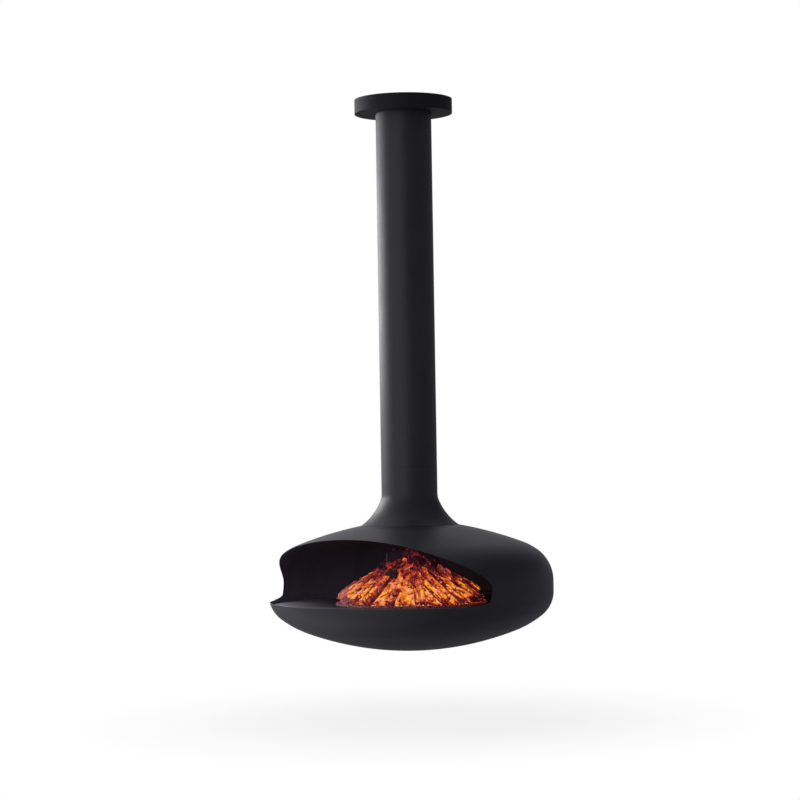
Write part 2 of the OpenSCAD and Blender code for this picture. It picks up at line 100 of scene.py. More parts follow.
class FirebodySizes(bpy.types.PropertyGroup):
    """Outline of the hood and the bowl."""

    body_r: length("Body radius", "Radius at the widest part", hood_high.x)
    wall: length("Wall", "Thickness of the steel", 0.004)
    lip_z: length("Lip height", "Height of the seam between hood and bowl", hood_low.z)
    band_h: length("Band", "Height of the upright band", 0.047)
    shoulder_r: length("Shoulder radius", "Arc above the band", 0.165)
    shoulder_turn: turn("Shoulder turn", "Angle of that arc", 54.7)
    haunch_r: length("Haunch radius", "Arc above the shoulder", 0.276)
    haunch_turn: turn("Haunch turn", "Angle of that arc", 14.3)
    crown_r: length("Crown radius", "Wide arc up to the neck", 1.645)
    crown_turn: turn("Crown turn", "Angle of that arc", 10.1)
    bilge_r: length("Bilge radius", "Arc below the band", 0.131)
    bilge_turn: turn("Bilge turn", "Angle of that arc", 52.2)
    flank_r: length("Flank radius", "Arc between the bilge and the dish", 0.434)
    flank_turn: turn("Flank turn", "Angle of that arc", 16.9)
    band_rise: length("Band rise", "Height of the band above the lip", 0.033)
    throat_r: length("Throat radius", "Opening from the hood into the neck", 0.165)
    mouth_w: length("Mouth width", "Width of the mouth at its widest place", 1.19)
    mouth_rise: length("Mouth rise", "Top of the mouth above its widest place", 0.203)
    mouth_z: length("Mouth height", "Height of the mouth's widest place", -2.119)
    mouth_side_h: length("Side height", "Half height of the ellipse of the mouth's sides", 0.47)
    corner_w: length("Corner width", "Width of the mouth's rounded corner", 0.046)
    corner_h: length("Corner height", "Height of the mouth's rounded corner", 0.02)
    tongue_h: length("Tongue", "Height of the end of the low tongue under that corner", 0.0025)
    edge: length("Edge", "Width of the ground edge round a sheet", GROUND_EDGE)


class FlueSizes(bpy.types.PropertyGroup):
    """Outline of the flue pipe and the neck."""

    pipe_r: length("Pipe radius", "Outside radius of the pipe", pipe_high.x)
    wall: length("Wall", "Thickness of the pipe and the neck", 0.003)
    flare_r: length("Flare radius", "First arc of the neck's flare", 0.076)
    flare_turn: turn("Flare turn", "Angle of that arc", 22.0)
    skirt_r: length("Skirt radius", "Second arc, down to the hood", 0.248)


class FireLook(bpy.types.PropertyGroup):
    """Shape and colours of the fire."""

    plump: number("Plumpness", "Girth of a log against its CAD node", 1.2)
    seed: number("Seed", "Start of the irregular shapes", 7)
    sticks: number("Sticks", "Thin split sticks on the heap", 125)
    crown: number("Crown", "Charred lumps round the top of the heap", 34)
    cinders: number("Cinders", "Small broken pieces", 460)
    yellow: colour("Hottest", "Glow of the hottest wood", (1.0, 0.44, 0.125))
    orange: colour("Hot", "Glow of hot wood", (0.74, 0.160, 0.040))
    red: colour("Red", "Glow of red-hot wood", (0.27, 0.027, 0.019))
    dusk: colour("Dull", "Glow of wood that is going out", (0.066, 0.0080, 0.0140))
    char: colour("Char", "Burnt wood", (0.024, 0.011, 0.018))
    ash: colour("Ash", "Fine ash", (0.20, 0.15, 0.17))
    ash_glow: colour("Glow through ash", "Glow of wood under fine ash", (0.24, 0.042, 0.062))


class PaintLook(bpy.types.PropertyGroup):
    """Matt stove paint."""

    colour: colour("Colour", "Colour of the paint", (0.0118, 0.0112, 0.0172))
    # Painted light: the film is far paler and bluer than soot and stands in for cool light falling
    # into the firebox. The second colour is darker painted shade towards the top, partly smoke
    # stains.
    soot_and_painted_light: colour("Soot", "Film of soot low in the firebox", (0.098, 0.122, 0.187))
    smoke: colour("Smoke", "The same film where the smoke licks it darker", (0.036, 0.058, 0.106))
    roughness: share("Roughness", "How matt the paint is", 0.48)


class StudioLook(bpy.types.PropertyGroup):
    """Camera, lamps and floor."""

    eye: FloatVectorProperty(
        name="Eye",
        description="Place of the camera",
        default=(6.468, -7.627, -1.563),
        subtype="XYZ",
        unit="LENGTH",
    )
    lens: number("Lens", "Focal length in millimetres", 102.78)
    pitch: turn("Pitch", "How far the camera looks up", 1.399)
    yaw: turn("Yaw", "How far the camera looks to the left of the flue", 0.2005)
    roll: turn("Roll", "How far the camera leans to its right", 0.94)
    floor_gap: length("Floor gap", "Height of the bowl above the floor", 0.3)
    ambient: share("Ambient", "Light from all round", 0.58)
    key: number("Key lamp", "Power of the large lamp on the left", 128.0)
    fill: number("Fill lamp", "Power of the wide lamp beside the camera", 105.0)


# ---------------------------------------------------------------- surfaces


def across(heading):
    """Unit vector to the left of a heading, for one heading or an array of them."""
    return np.stack([-np.sin(heading), np.cos(heading)], -1)


def outline(start, heading, stretches, step):
    """Points along arcs and lines that run on from each other, from (radius, turn, length).

    On an arc a point is the centre less the radius times the vector to the left of a heading
    that turns evenly. On a line, where the radius is 0, it moves evenly along the heading.
    """
    points = np.array([start], float)
    for radius, angle, run in stretches:
        count = max(2, math.ceil(max(abs(angle) * radius, run) / step))
        part = np.linspace(0.0, 1.0, count + 1)[1:]
        if radius:
            reach = math.copysign(radius, angle)
            centre = points[-1] + reach * across(heading)
            more = centre - reach * across(heading + angle * part)
        else:
            ahead = np.array([math.cos(heading), math.sin(heading)])
            more = points[-1] + run * part[:, None] * ahead
        points = np.vstack([points, more])
        heading += angle
    return points


def both_faces(start, heading, stretches, gap, step):
    """A sheet's outline, and the one a gap to its left, whose arcs are smaller by the gap."""
    moved = [(r - gap * math.copysign(1.0, a) if r else 0.0, a, run) for r, a, run in stretches]
    beside = np.array(start) + gap * across(heading)
    return outline(start, heading, stretches, step), outline(beside, heading, moved, step)


def spaced(points, count):
    """Points at equal lengths along a polyline, worked out by its running length."""
    run = np.concatenate([[0.0], np.cumsum(np.linalg.norm(np.diff(points, axis=0), axis=1))])
    at = np.linspace(0.0, run[-1], count)
    return np.stack([np.interp(at, run, points[:, k]) for k in range(points.shape[1])], -1)


def quads(index):
    """Corners of the faces between neighbouring rows and columns of an index grid."""
    low, high = index[..., :-1, :], index[..., 1:, :]
    return np.stack([low[..., :-1], low[..., 1:], high[..., 1:], high[..., :-1]], -1).reshape(-1, 4)


def put(name, data):
    """A new object in the scene."""
    made = bpy.data.objects.new(name, data)
    bpy.context.scene.collection.objects.link(made)
    return made


def solid(name, points, faces, body, finish, crease=35.0, attributes=None):
    """A closed mesh from points and four-cornered faces, riding on a body.

    Corners that fall together are dropped from their face, unused points are left out, and all
    faces are turned round where the sum over all triangles of one corner times the cross product
    of the other two, which is six times the volume, is negative.
    """
    used, faces = np.unique(faces, return_inverse=True)
    faces = faces.reshape(-1, 4)
    points = points[used]
    a, b, c, d = (points[faces[:, k]] for k in range(4))
    sixfold = np.einsum("ij,ij->", a, np.cross(b, c)) + np.einsum("ij,ij->", a, np.cross(c, d))
    if sixfold < 0:
        faces = faces[:, ::-1]
    keep = np.ones(faces.shape, bool)
    for k in range(4):
        keep[:, k] = faces[:, k] != faces[:, (k + 1) % 4]
    corners = keep.sum(1)
    whole = corners > 2
    keep, faces, corners = keep[whole], faces[whole], corners[whole]
    loops = faces[keep]
    mesh = bpy.data.meshes.new(name)
    mesh.vertices.add(len(points))
    mesh.vertices.foreach_set("co", points.astype(np.float32).ravel())
    mesh.loops.add(len(loops))
    mesh.loops.foreach_set("vertex_index", loops.astype(np.int32))
    mesh.polygons.add(len(corners))
    starts = np.concatenate([[0], np.cumsum(corners)[:-1]])
    mesh.polygons.foreach_set("loop_start", starts.astype(np.int32))
    mesh.update(calc_edges=True)
    mesh.polygons.foreach_set("use_smooth", np.ones(len(corners), bool))
    mesh.set_sharp_from_angle(angle=math.radians(crease))
    for key, values in (attributes or {}).items():
        values = values[used]
        kind, field = ("FLOAT", "value") if values.ndim == 1 else ("FLOAT_VECTOR", "vector")
        made = mesh.attributes.new(key, kind, "POINT")
        made.data.foreach_set(field, values.astype(np.float32).ravel())
    if mesh.validate():
        raise RuntimeError(f"{name} has faces that Blender had to mend")
    mesh.materials.append(finish)
    piece = put(name, mesh)
    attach(piece, body)
    return piece


def lathe(points, columns):
    """Turns an outline of (r, z) round the Z axis: a point is (r cos a, r sin a, z).

    Returns the points and the index grid. The last column is the first again, and a row on the
    axis is one point.
    """
    angle = np.linspace(0.0, TURN, columns, endpoint=False)
    r, z = points[:, :1], points[:, 1:]
    grid = np.stack([r * np.cos(angle), r * np.sin(angle), z + 0.0 * angle], -1)
    index = np.arange(grid.shape[0] * columns).reshape(-1, columns)
    index = np.hstack([index, index[:, :1]])
    index[points[:, 0] < 1e-6] = index[points[:, 0] < 1e-6, :1]
    return grid.reshape(-1, 3), index


def ground(loop, edge):
    """A closed outline whose sharp corners each give way to two points, at a short distance from
    the corner along its two sides."""
    sides = [np.roll(loop, k, axis=0) - loop for k in (1, -1)]
    runs = [np.linalg.norm(side, axis=1) for side in sides]
    sharp = np.einsum("ij,ij->i", *sides) / (runs[0] * runs[1]) > -0.8
    parts = [(np.minimum(edge, run / 3) / run)[:, None] for run in runs]
    cuts = [loop + side * part for side, part in zip(sides, parts)]
    pairs = [[a, b] if s else [p] for a, b, p, s in zip(*cuts, loop, sharp)]
    return np.array([p for pair in pairs for p in pair])


def turned_sheet(name, loop, columns, body, finish):
    """A sheet turned round the axis: its closed outline, with the corners ground, on a lathe."""
    points, index = lathe(ground(loop, GROUND_EDGE), columns)
    return solid(name, points, quads(np.vstack([index, index[:1]])), body, finish)


# ---------------------------------------------------------------- the body's outlines


def seam(s):
    """The bilge arc's turn at the seam between hood and bowl, and the seam's point."""
    lip_turn = math.asin(s.band_rise / s.bilge_r)
    return lip_turn, (s.body_r - s.bilge_r * (1.0 - math.cos(lip_turn)), s.lip_z)


def hood_stretches(s):
    """(start, heading, stretches) of the hood's outside, from the lip up to the neck's seat."""
    lip_turn, start = seam(s)
    return start, math.pi / 2 - lip_turn, [
        (s.bilge_r, lip_turn, 0.0),
        (0.0, 0.0, s.band_h),
        (s.shoulder_r, s.shoulder_turn, 0.0),
        (s.haunch_r, s.haunch_turn, 0.0),
        (s.crown_r, s.crown_turn, 0.0),
    ]


def bowl_stretches(s):
    """The same for the bowl's outside, from the lip down to the middle of its dish."""
    lip_turn, start = seam(s)
    dish_turn = math.pi / 2 - s.bilge_turn - s.flank_turn
    flank_end_r = (
        s.body_r
        - s.bilge_r * (1.0 - math.cos(s.bilge_turn))
        - s.flank_r * (math.cos(s.bilge_turn) - math.cos(s.bilge_turn + s.flank_turn))
    )
    return start, -math.pi / 2 - lip_turn, [
        (s.bilge_r, lip_turn - s.bilge_turn, 0.0),
        (s.flank_r, -s.flank_turn, 0.0),
        (flank_end_r / math.sin(dish_turn), -dish_turn, 0.0),
    ]


def mouth_edge(s, lip_z, growth, corner_rows=12, side_rows=8, arch_rows=52):
    """Right half of the mouth's edge as (x, z), from the lip up to its top, with the opening
    grown by a distance.

    An upright end of the tongue, then a quarter of an ellipse for the corner, a side whose x is
    half the width times the root of 1 less the square of its fall over a taller half height,
    and a quarter of an ellipse for the arched top.
    """
    half_w = s.mouth_w / 2

    def side_x(z):
        return half_w * np.sqrt(1.0 - ((z - s.mouth_z) / s.mouth_side_h) ** 2)

    corner_z = s.lip_z + s.tongue_h + s.corner_h
    corner_x = side_x(corner_z) - s.corner_w
    wide, high = s.corner_w + growth, s.corner_h + growth
    a = np.linspace(math.acos(growth / wide), 0.0, corner_rows)
    corner = np.stack([corner_x + wide * np.cos(a), corner_z - high * np.sin(a)], -1)
    z = np.linspace(corner_z, s.mouth_z, side_rows + 1)[1:]
    sides = np.stack([side_x(z) + growth, z], -1)
    a = np.linspace(0.0, math.pi / 2, arch_rows + 1)[1:]
    wide, high = half_w + growth, s.mouth_rise + growth
    arch = np.stack([wide * np.cos(a), s.mouth_z + high * np.sin(a)], -1)
    return np.vstack([[[corner_x + growth, lip_z + growth]], corner, sides, arch])


def hood_wall(s, fine, growth, upper_rows, columns):
    """Grid over one wall of the hood, with the mouth's edge as its own.

    Up to the mouth's top a row lies at the height of a point of that edge and runs from one
    side of the mouth round the back to the other. Above it a row is a full circle at an even
    step along the outline. The last row lies on the throat.
    """
    x, z = mouth_edge(s, fine[0, 1], growth).T
    r = np.interp(z, fine[:, 1], fine[:, 0])
    top = fine[fine[:, 1] > z[-1]]
    throat = np.array([[s.throat_r, fine[-1, 1]]])
    upper = spaced(np.vstack([[[r[-1], z[-1]]], top, throat]), upper_rows + 1)[1:]
    start = np.concatenate([np.arcsin(np.clip(x / r, 0.0, 1.0)), np.zeros(upper_rows)])
    r = np.concatenate([r, upper[:, 0]])[:, None]
    z = np.concatenate([z, upper[:, 1]])[:, None]
    inset = 0.0002
    part = np.concatenate([[0.0], np.linspace(inset, 1.0 - inset, columns - 1), [1.0]])
    angle = start[:, None] + part * (TURN - 2.0 * start[:, None])
    return np.stack([r * np.sin(angle), -r * np.cos(angle), z + 0.0 * angle], -1)


def rim(grid, mouth_rows):
    """The grid's open edge: along the lip, up one side of the mouth and down the other."""
    return np.concatenate([grid[0, :], grid[1:mouth_rows, -1], grid[1 : mouth_rows - 1, 0][::-1]])


# ---------------------------------------------------------------- shader maths


class Wire:
    """A socket of a material, on which Python's operators add Math nodes."""

    def __init__(self, recipe, socket):
        self.recipe = recipe
        self.socket = socket

    def maths(self, operation, *others):
        values = dict(enumerate((self, *others)))
        return self.recipe.node("ShaderNodeMath", {"operation": operation}, values)

    def __add__(self, other):
        return self.maths("ADD", other)

    def __sub__(self, other):
        return self.maths("SUBTRACT", other)

    def __mul__(self, other):
        return self.maths("MULTIPLY", other)

    def __rsub__(self, other):
        return self.recipe.node("ShaderNodeMath", {"operation": "SUBTRACT"}, {0: other, 1: self})

    __radd__ = __add__
    __rmul__ = __mul__

    def step(self, low, high):
        """0 below low and 1 above high, smoothly between them; low may be above high."""
        values = {0: self, 1: min(low, high), 2: max(low, high)}
        out = self.recipe.node("ShaderNodeMapRange", {"interpolation_type": "SMOOTHSTEP"}, values)
        return 1 - out if low > high else out


class Recipe:
    """The node tree of one material or of the world."""

    def __init__(self, name, owner=None):
        self.owner = owner or bpy.data.materials.new(name)
        self.owner.use_nodes = True
        self.tree = self.owner.node_tree
        self.tree.nodes.clear()

    def node(self, kind, settings=None, values=None, output=0):
        """Adds a node of a type, applies its settings, then its sockets' values or links."""
        made = self.tree.nodes.new(kind)
        for key, value in (settings or {}).items():
            if key == "stops":
                self.fill_ramp(made.color_ramp, value)
            else:
                setattr(made, key, value)
        for key, value in (values or {}).items():
            if isinstance(value, Wire):
                self.tree.links.new(value.socket, made.inputs[key])
            else:
                made.inputs[key].default_value = value
        return Wire(self, made.outputs[output])

    @staticmethod
    def fill_ramp(ramp, stops):
        while len(ramp.elements) < len(stops):
            ramp.elements.new(1.0)
        for element, (place, shade) in zip(ramp.elements, stops):
            element.position = place
            element.color = (*shade, 1.0)

    def rays(self, *kinds):
        """For each kind of ray, 1 where such a ray asks for the colour and 0 elsewhere."""
        return [self.node("ShaderNodeLightPath", output=kind) for kind in kinds]

    def place(self):
        """The point in the object's own coordinates, which are the frame's."""
        return self.node("ShaderNodeTexCoord", output="Object")

    def attribute(self, name, output="Vector"):
        return self.node("ShaderNodeAttribute", {"attribute_name": name}, output=output)

    def axes(self, vector):
        split = self.node("ShaderNodeSeparateXYZ", values={0: vector}).socket.node
        return [Wire(self, socket) for socket in split.outputs]

    def turned(self, at):
        """The parts of a point, and its distance from the flue's axis."""
        x, y, z = self.axes(at)
        return x, y, z, (x * x + y * y).maths("SQRT")

    def stretched(self, vector, scale):
        return self.node("ShaderNodeMapping", values={0: vector, 3: scale})

    def noise(self, vector, scale, detail=3.0, rough=0.55, warp=0.0):
        keys = ("Vector", "Scale", "Detail", "Roughness", "Distortion")
        values = dict(zip(keys, (vector, scale, detail, rough, warp)))
        return self.node("ShaderNodeTexNoise", values=values, output="Fac")

    def cells(self, vector, scale, feature="F1"):
        values = {"Vector": vector, "Scale": scale}
        return self.node("ShaderNodeTexVoronoi", {"feature": feature}, values, output="Distance")

    def mix(self, part, a, b):
        a, b = (v if isinstance(v, Wire) else (*v, 1.0) for v in (a, b))
        settings = {"data_type": "RGBA", "clamp_factor": True}
        return self.node("ShaderNodeMix", settings, {0: part, 6: a, 7: b}, output=2)

    def ramp(self, part, *stops):
        return self.node("ShaderNodeValToRGB", {"stops": stops}, {0: part})

    def shade(self, tone, rough, bump, **more):
        """Ends the material in a Principled shader. The bump is a height, its depth and its
        strength. A further keyword is a socket's name with _ for a space."""
        height, depth, strength = bump
        values = {"Strength": strength, "Distance": depth, "Height": height}
        named = {key.replace("_", " "): value for key, value in more.items()}
        named["Base Color"] = tone
        named["Roughness"] = rough
        named["Normal"] = self.node("ShaderNodeBump", values=values)
        self.end(self.node("ShaderNodeBsdfPrincipled", values=named))
        return self.owner

    def end(self, surface, kind="ShaderNodeOutputMaterial"):
        self.tree.links.new(surface.socket, self.tree.nodes.new(kind).inputs["Surface"])


def scaled(colour_value, factor):
    return tuple(min(1.0, c * factor) for c in colour_value)


# ---------------------------------------------------------------- finishes


def stove_paint(name, paint, inside=False, painted_shade_factor=1.0, dull=0.0, gloss=0.5):
    """Matt black stove paint: fine orange peel, cloudy sheen and a little dust. The walls of the
    firebox have a pale bluish sooty film over it, which is painted cool light, darker towards the
    top in smoke patches and as painted shade."""
    r = Recipe(name)
    at = r.place()
    # A factor under 1 darkens the paint as painted shade
    base = scaled(paint.colour, painted_shade_factor)
    clouds = r.noise(at, 5.0, 4.0, 0.6)
    peel = r.noise(at, 620.0, 2.0, 0.5)
    grit = r.noise(at, 1900.0, 1.0, 0.5)
    specks = r.cells(at, 210.0).step(0.09, 0.02)
    dust = specks * r.noise(at, 3.0, 2.0).step(0.5, 0.75)
    tone = r.mix(clouds.step(0.3, 0.7), scaled(base, 0.88), scaled(base, 1.14))
    tone = r.mix(dust * 0.4, tone, (0.09, 0.085, 0.085))
    rough = paint.roughness + dull + (clouds - 0.5) * 0.16 + (grit - 0.5) * 0.05
    if inside:
        within = r.attribute("inside", "Fac")
        smoke = r.noise(r.stretched(at, (5.0, 5.0, 2.0)), 1.0, 4.0, 0.6).step(0.3, 0.7)
        fine = r.noise(at, 90.0, 4.0, 0.65)
        # Painted shade: the film darkens with height towards the top of the firebox, mixed with
        # smoke patches and fine mottling
        smoke_and_top_shade = smoke * 0.5 + r.axes(at)[2].step(-2.2, -1.98) * 0.5 + (fine - 0.5) * 0.4
        tone = r.mix(within, tone, r.mix(smoke_and_top_shade, paint.soot_and_painted_light, paint.smoke))
        rough = rough + within * 0.3
    return r.shade(tone, rough, (peel, 0.00008, 0.55), Specular_IOR_Level=gloss)


def plain_steel(name, base, rough, metallic=1.0, grain=(8.0, 8.0, 400.0)):
    """Steel or brass with fine drawn lines, cloudy oxide and a few stains."""
    r = Recipe(name)
    at = r.place()
    lines = r.noise(r.stretched(at, grain), 1.0, 3.0, 0.6)
    clouds = r.noise(at, 16.0, 4.0, 0.62)
    spots = r.noise(at, 70.0, 3.0, 0.7).step(0.62, 0.8)
    tone = r.mix(clouds.step(0.25, 0.75), scaled(base, 0.78), scaled(base, 1.12))
    tone = r.mix(spots * 0.35, tone, (0.1, 0.07, 0.05))
    rough = rough + (lines - 0.5) * 0.18 + spots * 0.2
    return r.shade(tone, rough, (lines, 0.00006, 0.4), Metallic=metallic)


def primer(name):
    """Grey primer over sheet steel, rubbed through in places."""
    r = Recipe(name)
    at = r.place()
    peel = r.noise(at, 450.0, 2.0)
    rubbed = r.noise(at, 38.0, 5.0, 0.7).step(0.63, 0.7)
    tone = r.mix(r.noise(at, 9.0, 3.0), (0.085, 0.087, 0.092), (0.125, 0.127, 0.132))
    tone = r.mix(rubbed, tone, (0.33, 0.32, 0.31))
    bump = (peel - rubbed * 0.6, 0.0001, 0.5)
    return r.shade(tone, 0.62 - rubbed * 0.24, bump, Metallic=rubbed * 0.8)


def heat_tint(name):
    """Bright steel run through straw, purple and blue by heat."""
    r = Recipe(name)
    at = r.place()
    tone = r.ramp(
        r.noise(at, 14.0, 3.0) + r.noise(at, 60.0, 2.0) * 0.25,
        (0.30, (0.30, 0.29, 0.28)),
        (0.45, (0.36, 0.24, 0.10)),
        (0.58, (0.20, 0.09, 0.12)),
        (0.72, (0.07, 0.09, 0.17)),
        (0.90, (0.17, 0.17, 0.18)),
    )
    lines = r.noise(r.stretched(at, (300.0, 12.0, 12.0)), 1.0, 2.0)
    return r.shade(tone, 0.34 + (lines - 0.5) * 0.2, (lines, 0.00005, 0.35), Metallic=1.0)


def rope(name):
    """Braided glass-fibre rope: slanting plaits crossing each other, with fine fuzz."""
    r = Recipe(name)
    at = r.place()
    x, y, z = r.axes(at)
    along = y.maths("ARCTAN2", x) * 118.0
    up = z * 900.0
    plait = (along + up).maths("SINE").maths("MAXIMUM", (along - up).maths("SINE"))
    fuzz = r.noise(at, 2400.0, 2.0)
    # Painted shade: the grooves between the plaits, which the bump sinks, are painted darker
    tone = r.mix(plait.step(-0.4, 0.9), (0.30, 0.28, 0.25), (0.72, 0.70, 0.65))
    return r.shade(tone, 0.92 - fuzz * 0.1, (plait * 0.7 + fuzz * 0.3, 0.0006, 0.8))


def board(name):
    """Pressed mineral fibre board: short fibres and shallow pits."""
    r = Recipe(name)
    at = r.place()
    fibres = r.noise(r.stretched(at, (260.0, 1100.0, 1100.0)), 1.0, 2.0, 0.6)
    pits = r.cells(at, 160.0).step(0.16, 0.05)
    tone = r.mix(fibres, (0.42, 0.36, 0.26), (0.62, 0.56, 0.44))
    # Painted shade: the pits, which the bump sinks, are painted darker
    tone = r.mix(pits * 0.5, tone, (0.24, 0.20, 0.15))
    return r.shade(tone, 0.9 - fibres * 0.08, (fibres - pits, 0.0004, 0.6))


def cast_iron(name):
    """Cast iron: sandy skin, slightly shiny where it is handled."""
    r = Recipe(name)
    at = r.place()
    base = (0.022, 0.021, 0.021)
    wear = r.noise(at, 55.0, 4.0, 0.6).step(0.5, 0.7)
    sand = r.noise(at, 800.0, 3.0, 0.6)
    tone = r.mix(wear, base, scaled(base, 2.2))
    return r.shade(tone, 0.66 - wear * 0.22, (sand, 0.00025, 0.6), Metallic=0.35)


def floor_steel(name):
    """Blackened floor plate, paler towards its edge as painted light where light catches it by the
    lip, with a dusting of ash round the tray and scratches from the poker."""
    r = Recipe(name)
    at = r.place()
    out = r.turned(at)[-1]
    ash = r.noise(at, 60.0, 5.0, 0.68).step(0.5, 0.74) * out.step(0.60, 0.33)
    clouds = r.noise(at, 9.0, 4.0, 0.6)
    streaks = r.noise(r.stretched(at, (700.0, 9.0, 9.0)), 1.0, 3.0, 0.7, 0.6)
    scratches = streaks.step(0.66, 0.72)
    tone = r.mix(clouds, (0.030, 0.030, 0.036), (0.050, 0.049, 0.056))
    tone = r.mix(scratches * 0.4, tone, (0.10, 0.10, 0.10))
    tone = r.mix(ash * 0.5, tone, (0.21, 0.19, 0.19))
    # Painted light: the plate grows pale towards the lip, where light falls on it, broken up by the
    # clouds
    painted_light_towards_lip = out.step(0.34, 0.60) * (0.75 + (clouds - 0.5) * 0.9)
    tone = r.mix(painted_light_towards_lip, tone, (0.30, 0.30, 0.32))
    rough = 0.5 + ash * 0.35 - scratches * 0.1
    return r.shade(tone, rough, (clouds + scratches * 0.2, 0.0002, 0.5), Metallic=0.1)


def tray_iron(name, look):
    """Tray of rolled iron, scaled by the heat. Its rim has caught ash, most on the ashy side, and
    glowing dust, most on the other."""
    r = Recipe(name)
    at = r.place()
    x, y, _, out = r.turned(at)
    on_rim = out.step(0.30, 0.329)
    rust = r.noise(at, 34.0, 5.0, 0.7).step(0.48, 0.7)
    sideways = x * math.cos(ASHY_SIDE) + y * math.sin(ASHY_SIDE)
    near_ash = sideways.step(0.05, 0.31) * 0.45 + 0.55
    caught = r.noise(at, 120.0, 3.0, 0.7).step(0.44, 0.60) * on_rim * near_ash
    sparks = r.noise(at, 170.0, 3.0, 0.7).step(0.46, 0.58) * on_rim * (1.35 - near_ash)
    tone = r.mix(rust, (0.016, 0.013, 0.014), (0.052, 0.024, 0.018))
    return r.shade(
        r.mix(caught * 0.9, tone, scaled(look.ash, 1.7)),
        0.62 + rust * 0.2,
        (r.cells(at, 130.0) + caught, 0.0004, 0.5),
        Metallic=0.3 - caught * 0.3,
        Emission_Color=r.mix(sparks, (0.0, 0.0, 0.0), look.red),
        Emission_Strength=1.0,
    )


def burning(name, look, embers):
    """Burning wood, or the embers under it.

    The heat falls with the height above the floor. The warmth of each piece, broad patches,
    flecks, and strips and fibres along the grain make it uneven. It is lower in the cracks, on the
    side that burns lowest and along the heap's upper edge, and it gives the glow. The glow is also
    cut as painted shade in the seams, where the surface turns away from outside. Hot wood is gold
    or salmon in patches, and the upper half and cooler wood are redder. Fine ash dulls the glow at
    the foot of the logs and wherever a piece is ashy.
    """
    r = Recipe(name)
    at = r.place()
    grain = r.attribute("grain")
    outward, warmth, ashy = (r.attribute(key, "Fac") for key in ("outward", "warmth", "ashy"))
    x, y, z, out = r.turned(at)
    height = z - floor_z
    fibres = r.noise(r.stretched(grain, (170.0, 170.0, 17.0)), 1.0, 4.0, 0.65, 0.3)
    strips = r.noise(r.stretched(grain, (62.0, 62.0, 8.0)), 1.0, 3.0, 0.55)
    patches = r.noise(at, 24.0, 2.0, 0.5)
    flecks = r.noise(at, 75.0, 3.0, 0.6)
    lumps = r.cells(r.stretched(grain, (62.0, 62.0, 34.0)), 1.0, "DISTANCE_TO_EDGE")
    cracks = lumps.step(0.17, 0.02)
    low = height.step(0.215, 0.055)
    uneven = (patches - 0.5) * 1.5 + (flecks - 0.5) * 0.8
    uneven = uneven + (fibres - 0.5) * 1.45 + (strips - 0.5) * 1.7
    heat = 0.275 + low * 0.53 + warmth * 0.2 + uneven * (0.5 + low * 0.5)
    # Painted shade: the glow drops to a third where the surface turns in or down, in the seams
    # between pieces and in the splits
    heat = heat * (0.34 + outward.step(-0.1, 0.7) * 0.66) - cracks * 0.22
    sideways = x * math.cos(DARK_SIDE) + y * math.sin(DARK_SIDE)
    upper_edge = height + sideways.maths("ABSOLUTE") * 0.6 - 0.234
    heat = heat - sideways.step(0.235, 0.315) * 0.42 - upper_edge.step(-0.008, 0.024) * 0.36
    if embers:
        heat = heat + 0.06 - out.step(0.24, 0.27) * 0.4
    glow = r.ramp(
        heat,
        (0.0, scaled(look.char, 0.2)),
        (0.12, look.dusk),
        (0.36, look.red),
        (0.62, look.orange),
        (0.96, look.yellow),
    )
    gold, salmon = (1.0, 1.0, 0.30), (1.0, 0.85, 1.25)
    cool, ruddy = (1.0, 0.68, 0.64), (1.0, 0.62, 0.60)
    hue = r.mix(r.noise(at, 26.0, 2.0, 0.5).step(0.40, 0.64), gold, salmon)
    hue = r.mix(heat.step(0.32, 0.62), cool, hue)
    high = height.step(0.07, 0.13) * r.noise(at, 13.0, 2.0, 0.5).step(0.36, 0.6)
    hue = r.mix(high * 0.85, hue, ruddy)
    glow = r.node("ShaderNodeVectorMath", {"operation": "MULTIPLY"}, {0: glow, 1: hue})
    powder = r.noise(at, 150.0, 4.0, 0.7)
    ashen = (powder - 0.5) * 1.9 + ashy * 0.62 + height.step(0.014, 0.0) * 0.15
    ashen = ashen.step(0.24, 0.70)
    tone = r.mix(fibres, look.char, scaled(look.char, 2.6))
    return r.shade(
        r.mix(ashen, tone, look.ash),
        0.9 - fibres * 0.12,
        (fibres * 0.5 + strips - cracks * 0.8, 0.0022, 0.9),
        Emission_Color=r.mix(ashen * warmth.step(-2.4, -0.8), glow, look.ash_glow),
        Emission_Strength=1.0,
    )


# ---------------------------------------------------------------- the fire

# Outline of the heap of logs from its foot up: radii, and heights above the hearth floor
HEAP_LINE = np.stack([
    (0.318, 0.300, 0.262, 0.196, 0.152, 0.109, 0.052),
    (0.012, 0.042, 0.068, 0.108, 0.134, 0.176, 0.230),
], -1)
# Side of the heap whose log ends are covered in ash, and the side that burns lowest
ASHY_SIDE = math.radians(-140.0)
DARK_SIDE = math.radians(40.0)
# Upper face of the fire tray's bottom, which lies on the hearth floor
tray_z = floor_z + 0.0025


def toward(azimuth, side, sharp):
    """1 on a side of the heap, falling to 0 at right angles to it as a power of the cosine."""
    return np.clip(np.cos(azimuth - side), 0.0, 1.0) ** sharp


def waves(rng, angle, along, most_round, most_along, count=18):
    """Smooth irregular height over a log, about 1 high: the sum of waves with whole numbers of
    turns round it, random lengths along it and random phases, over the root of half their
    count."""
    turns = rng.integers(0, most_round + 1, count)
    runs = rng.uniform(-most_along, most_along, count)
    phase = rng.uniform(0.0, TURN, count)
    field = np.cos(turns * angle[..., None] + runs * along[..., None] + phase)
    return field.sum(-1) / math.sqrt(count / 2.0)


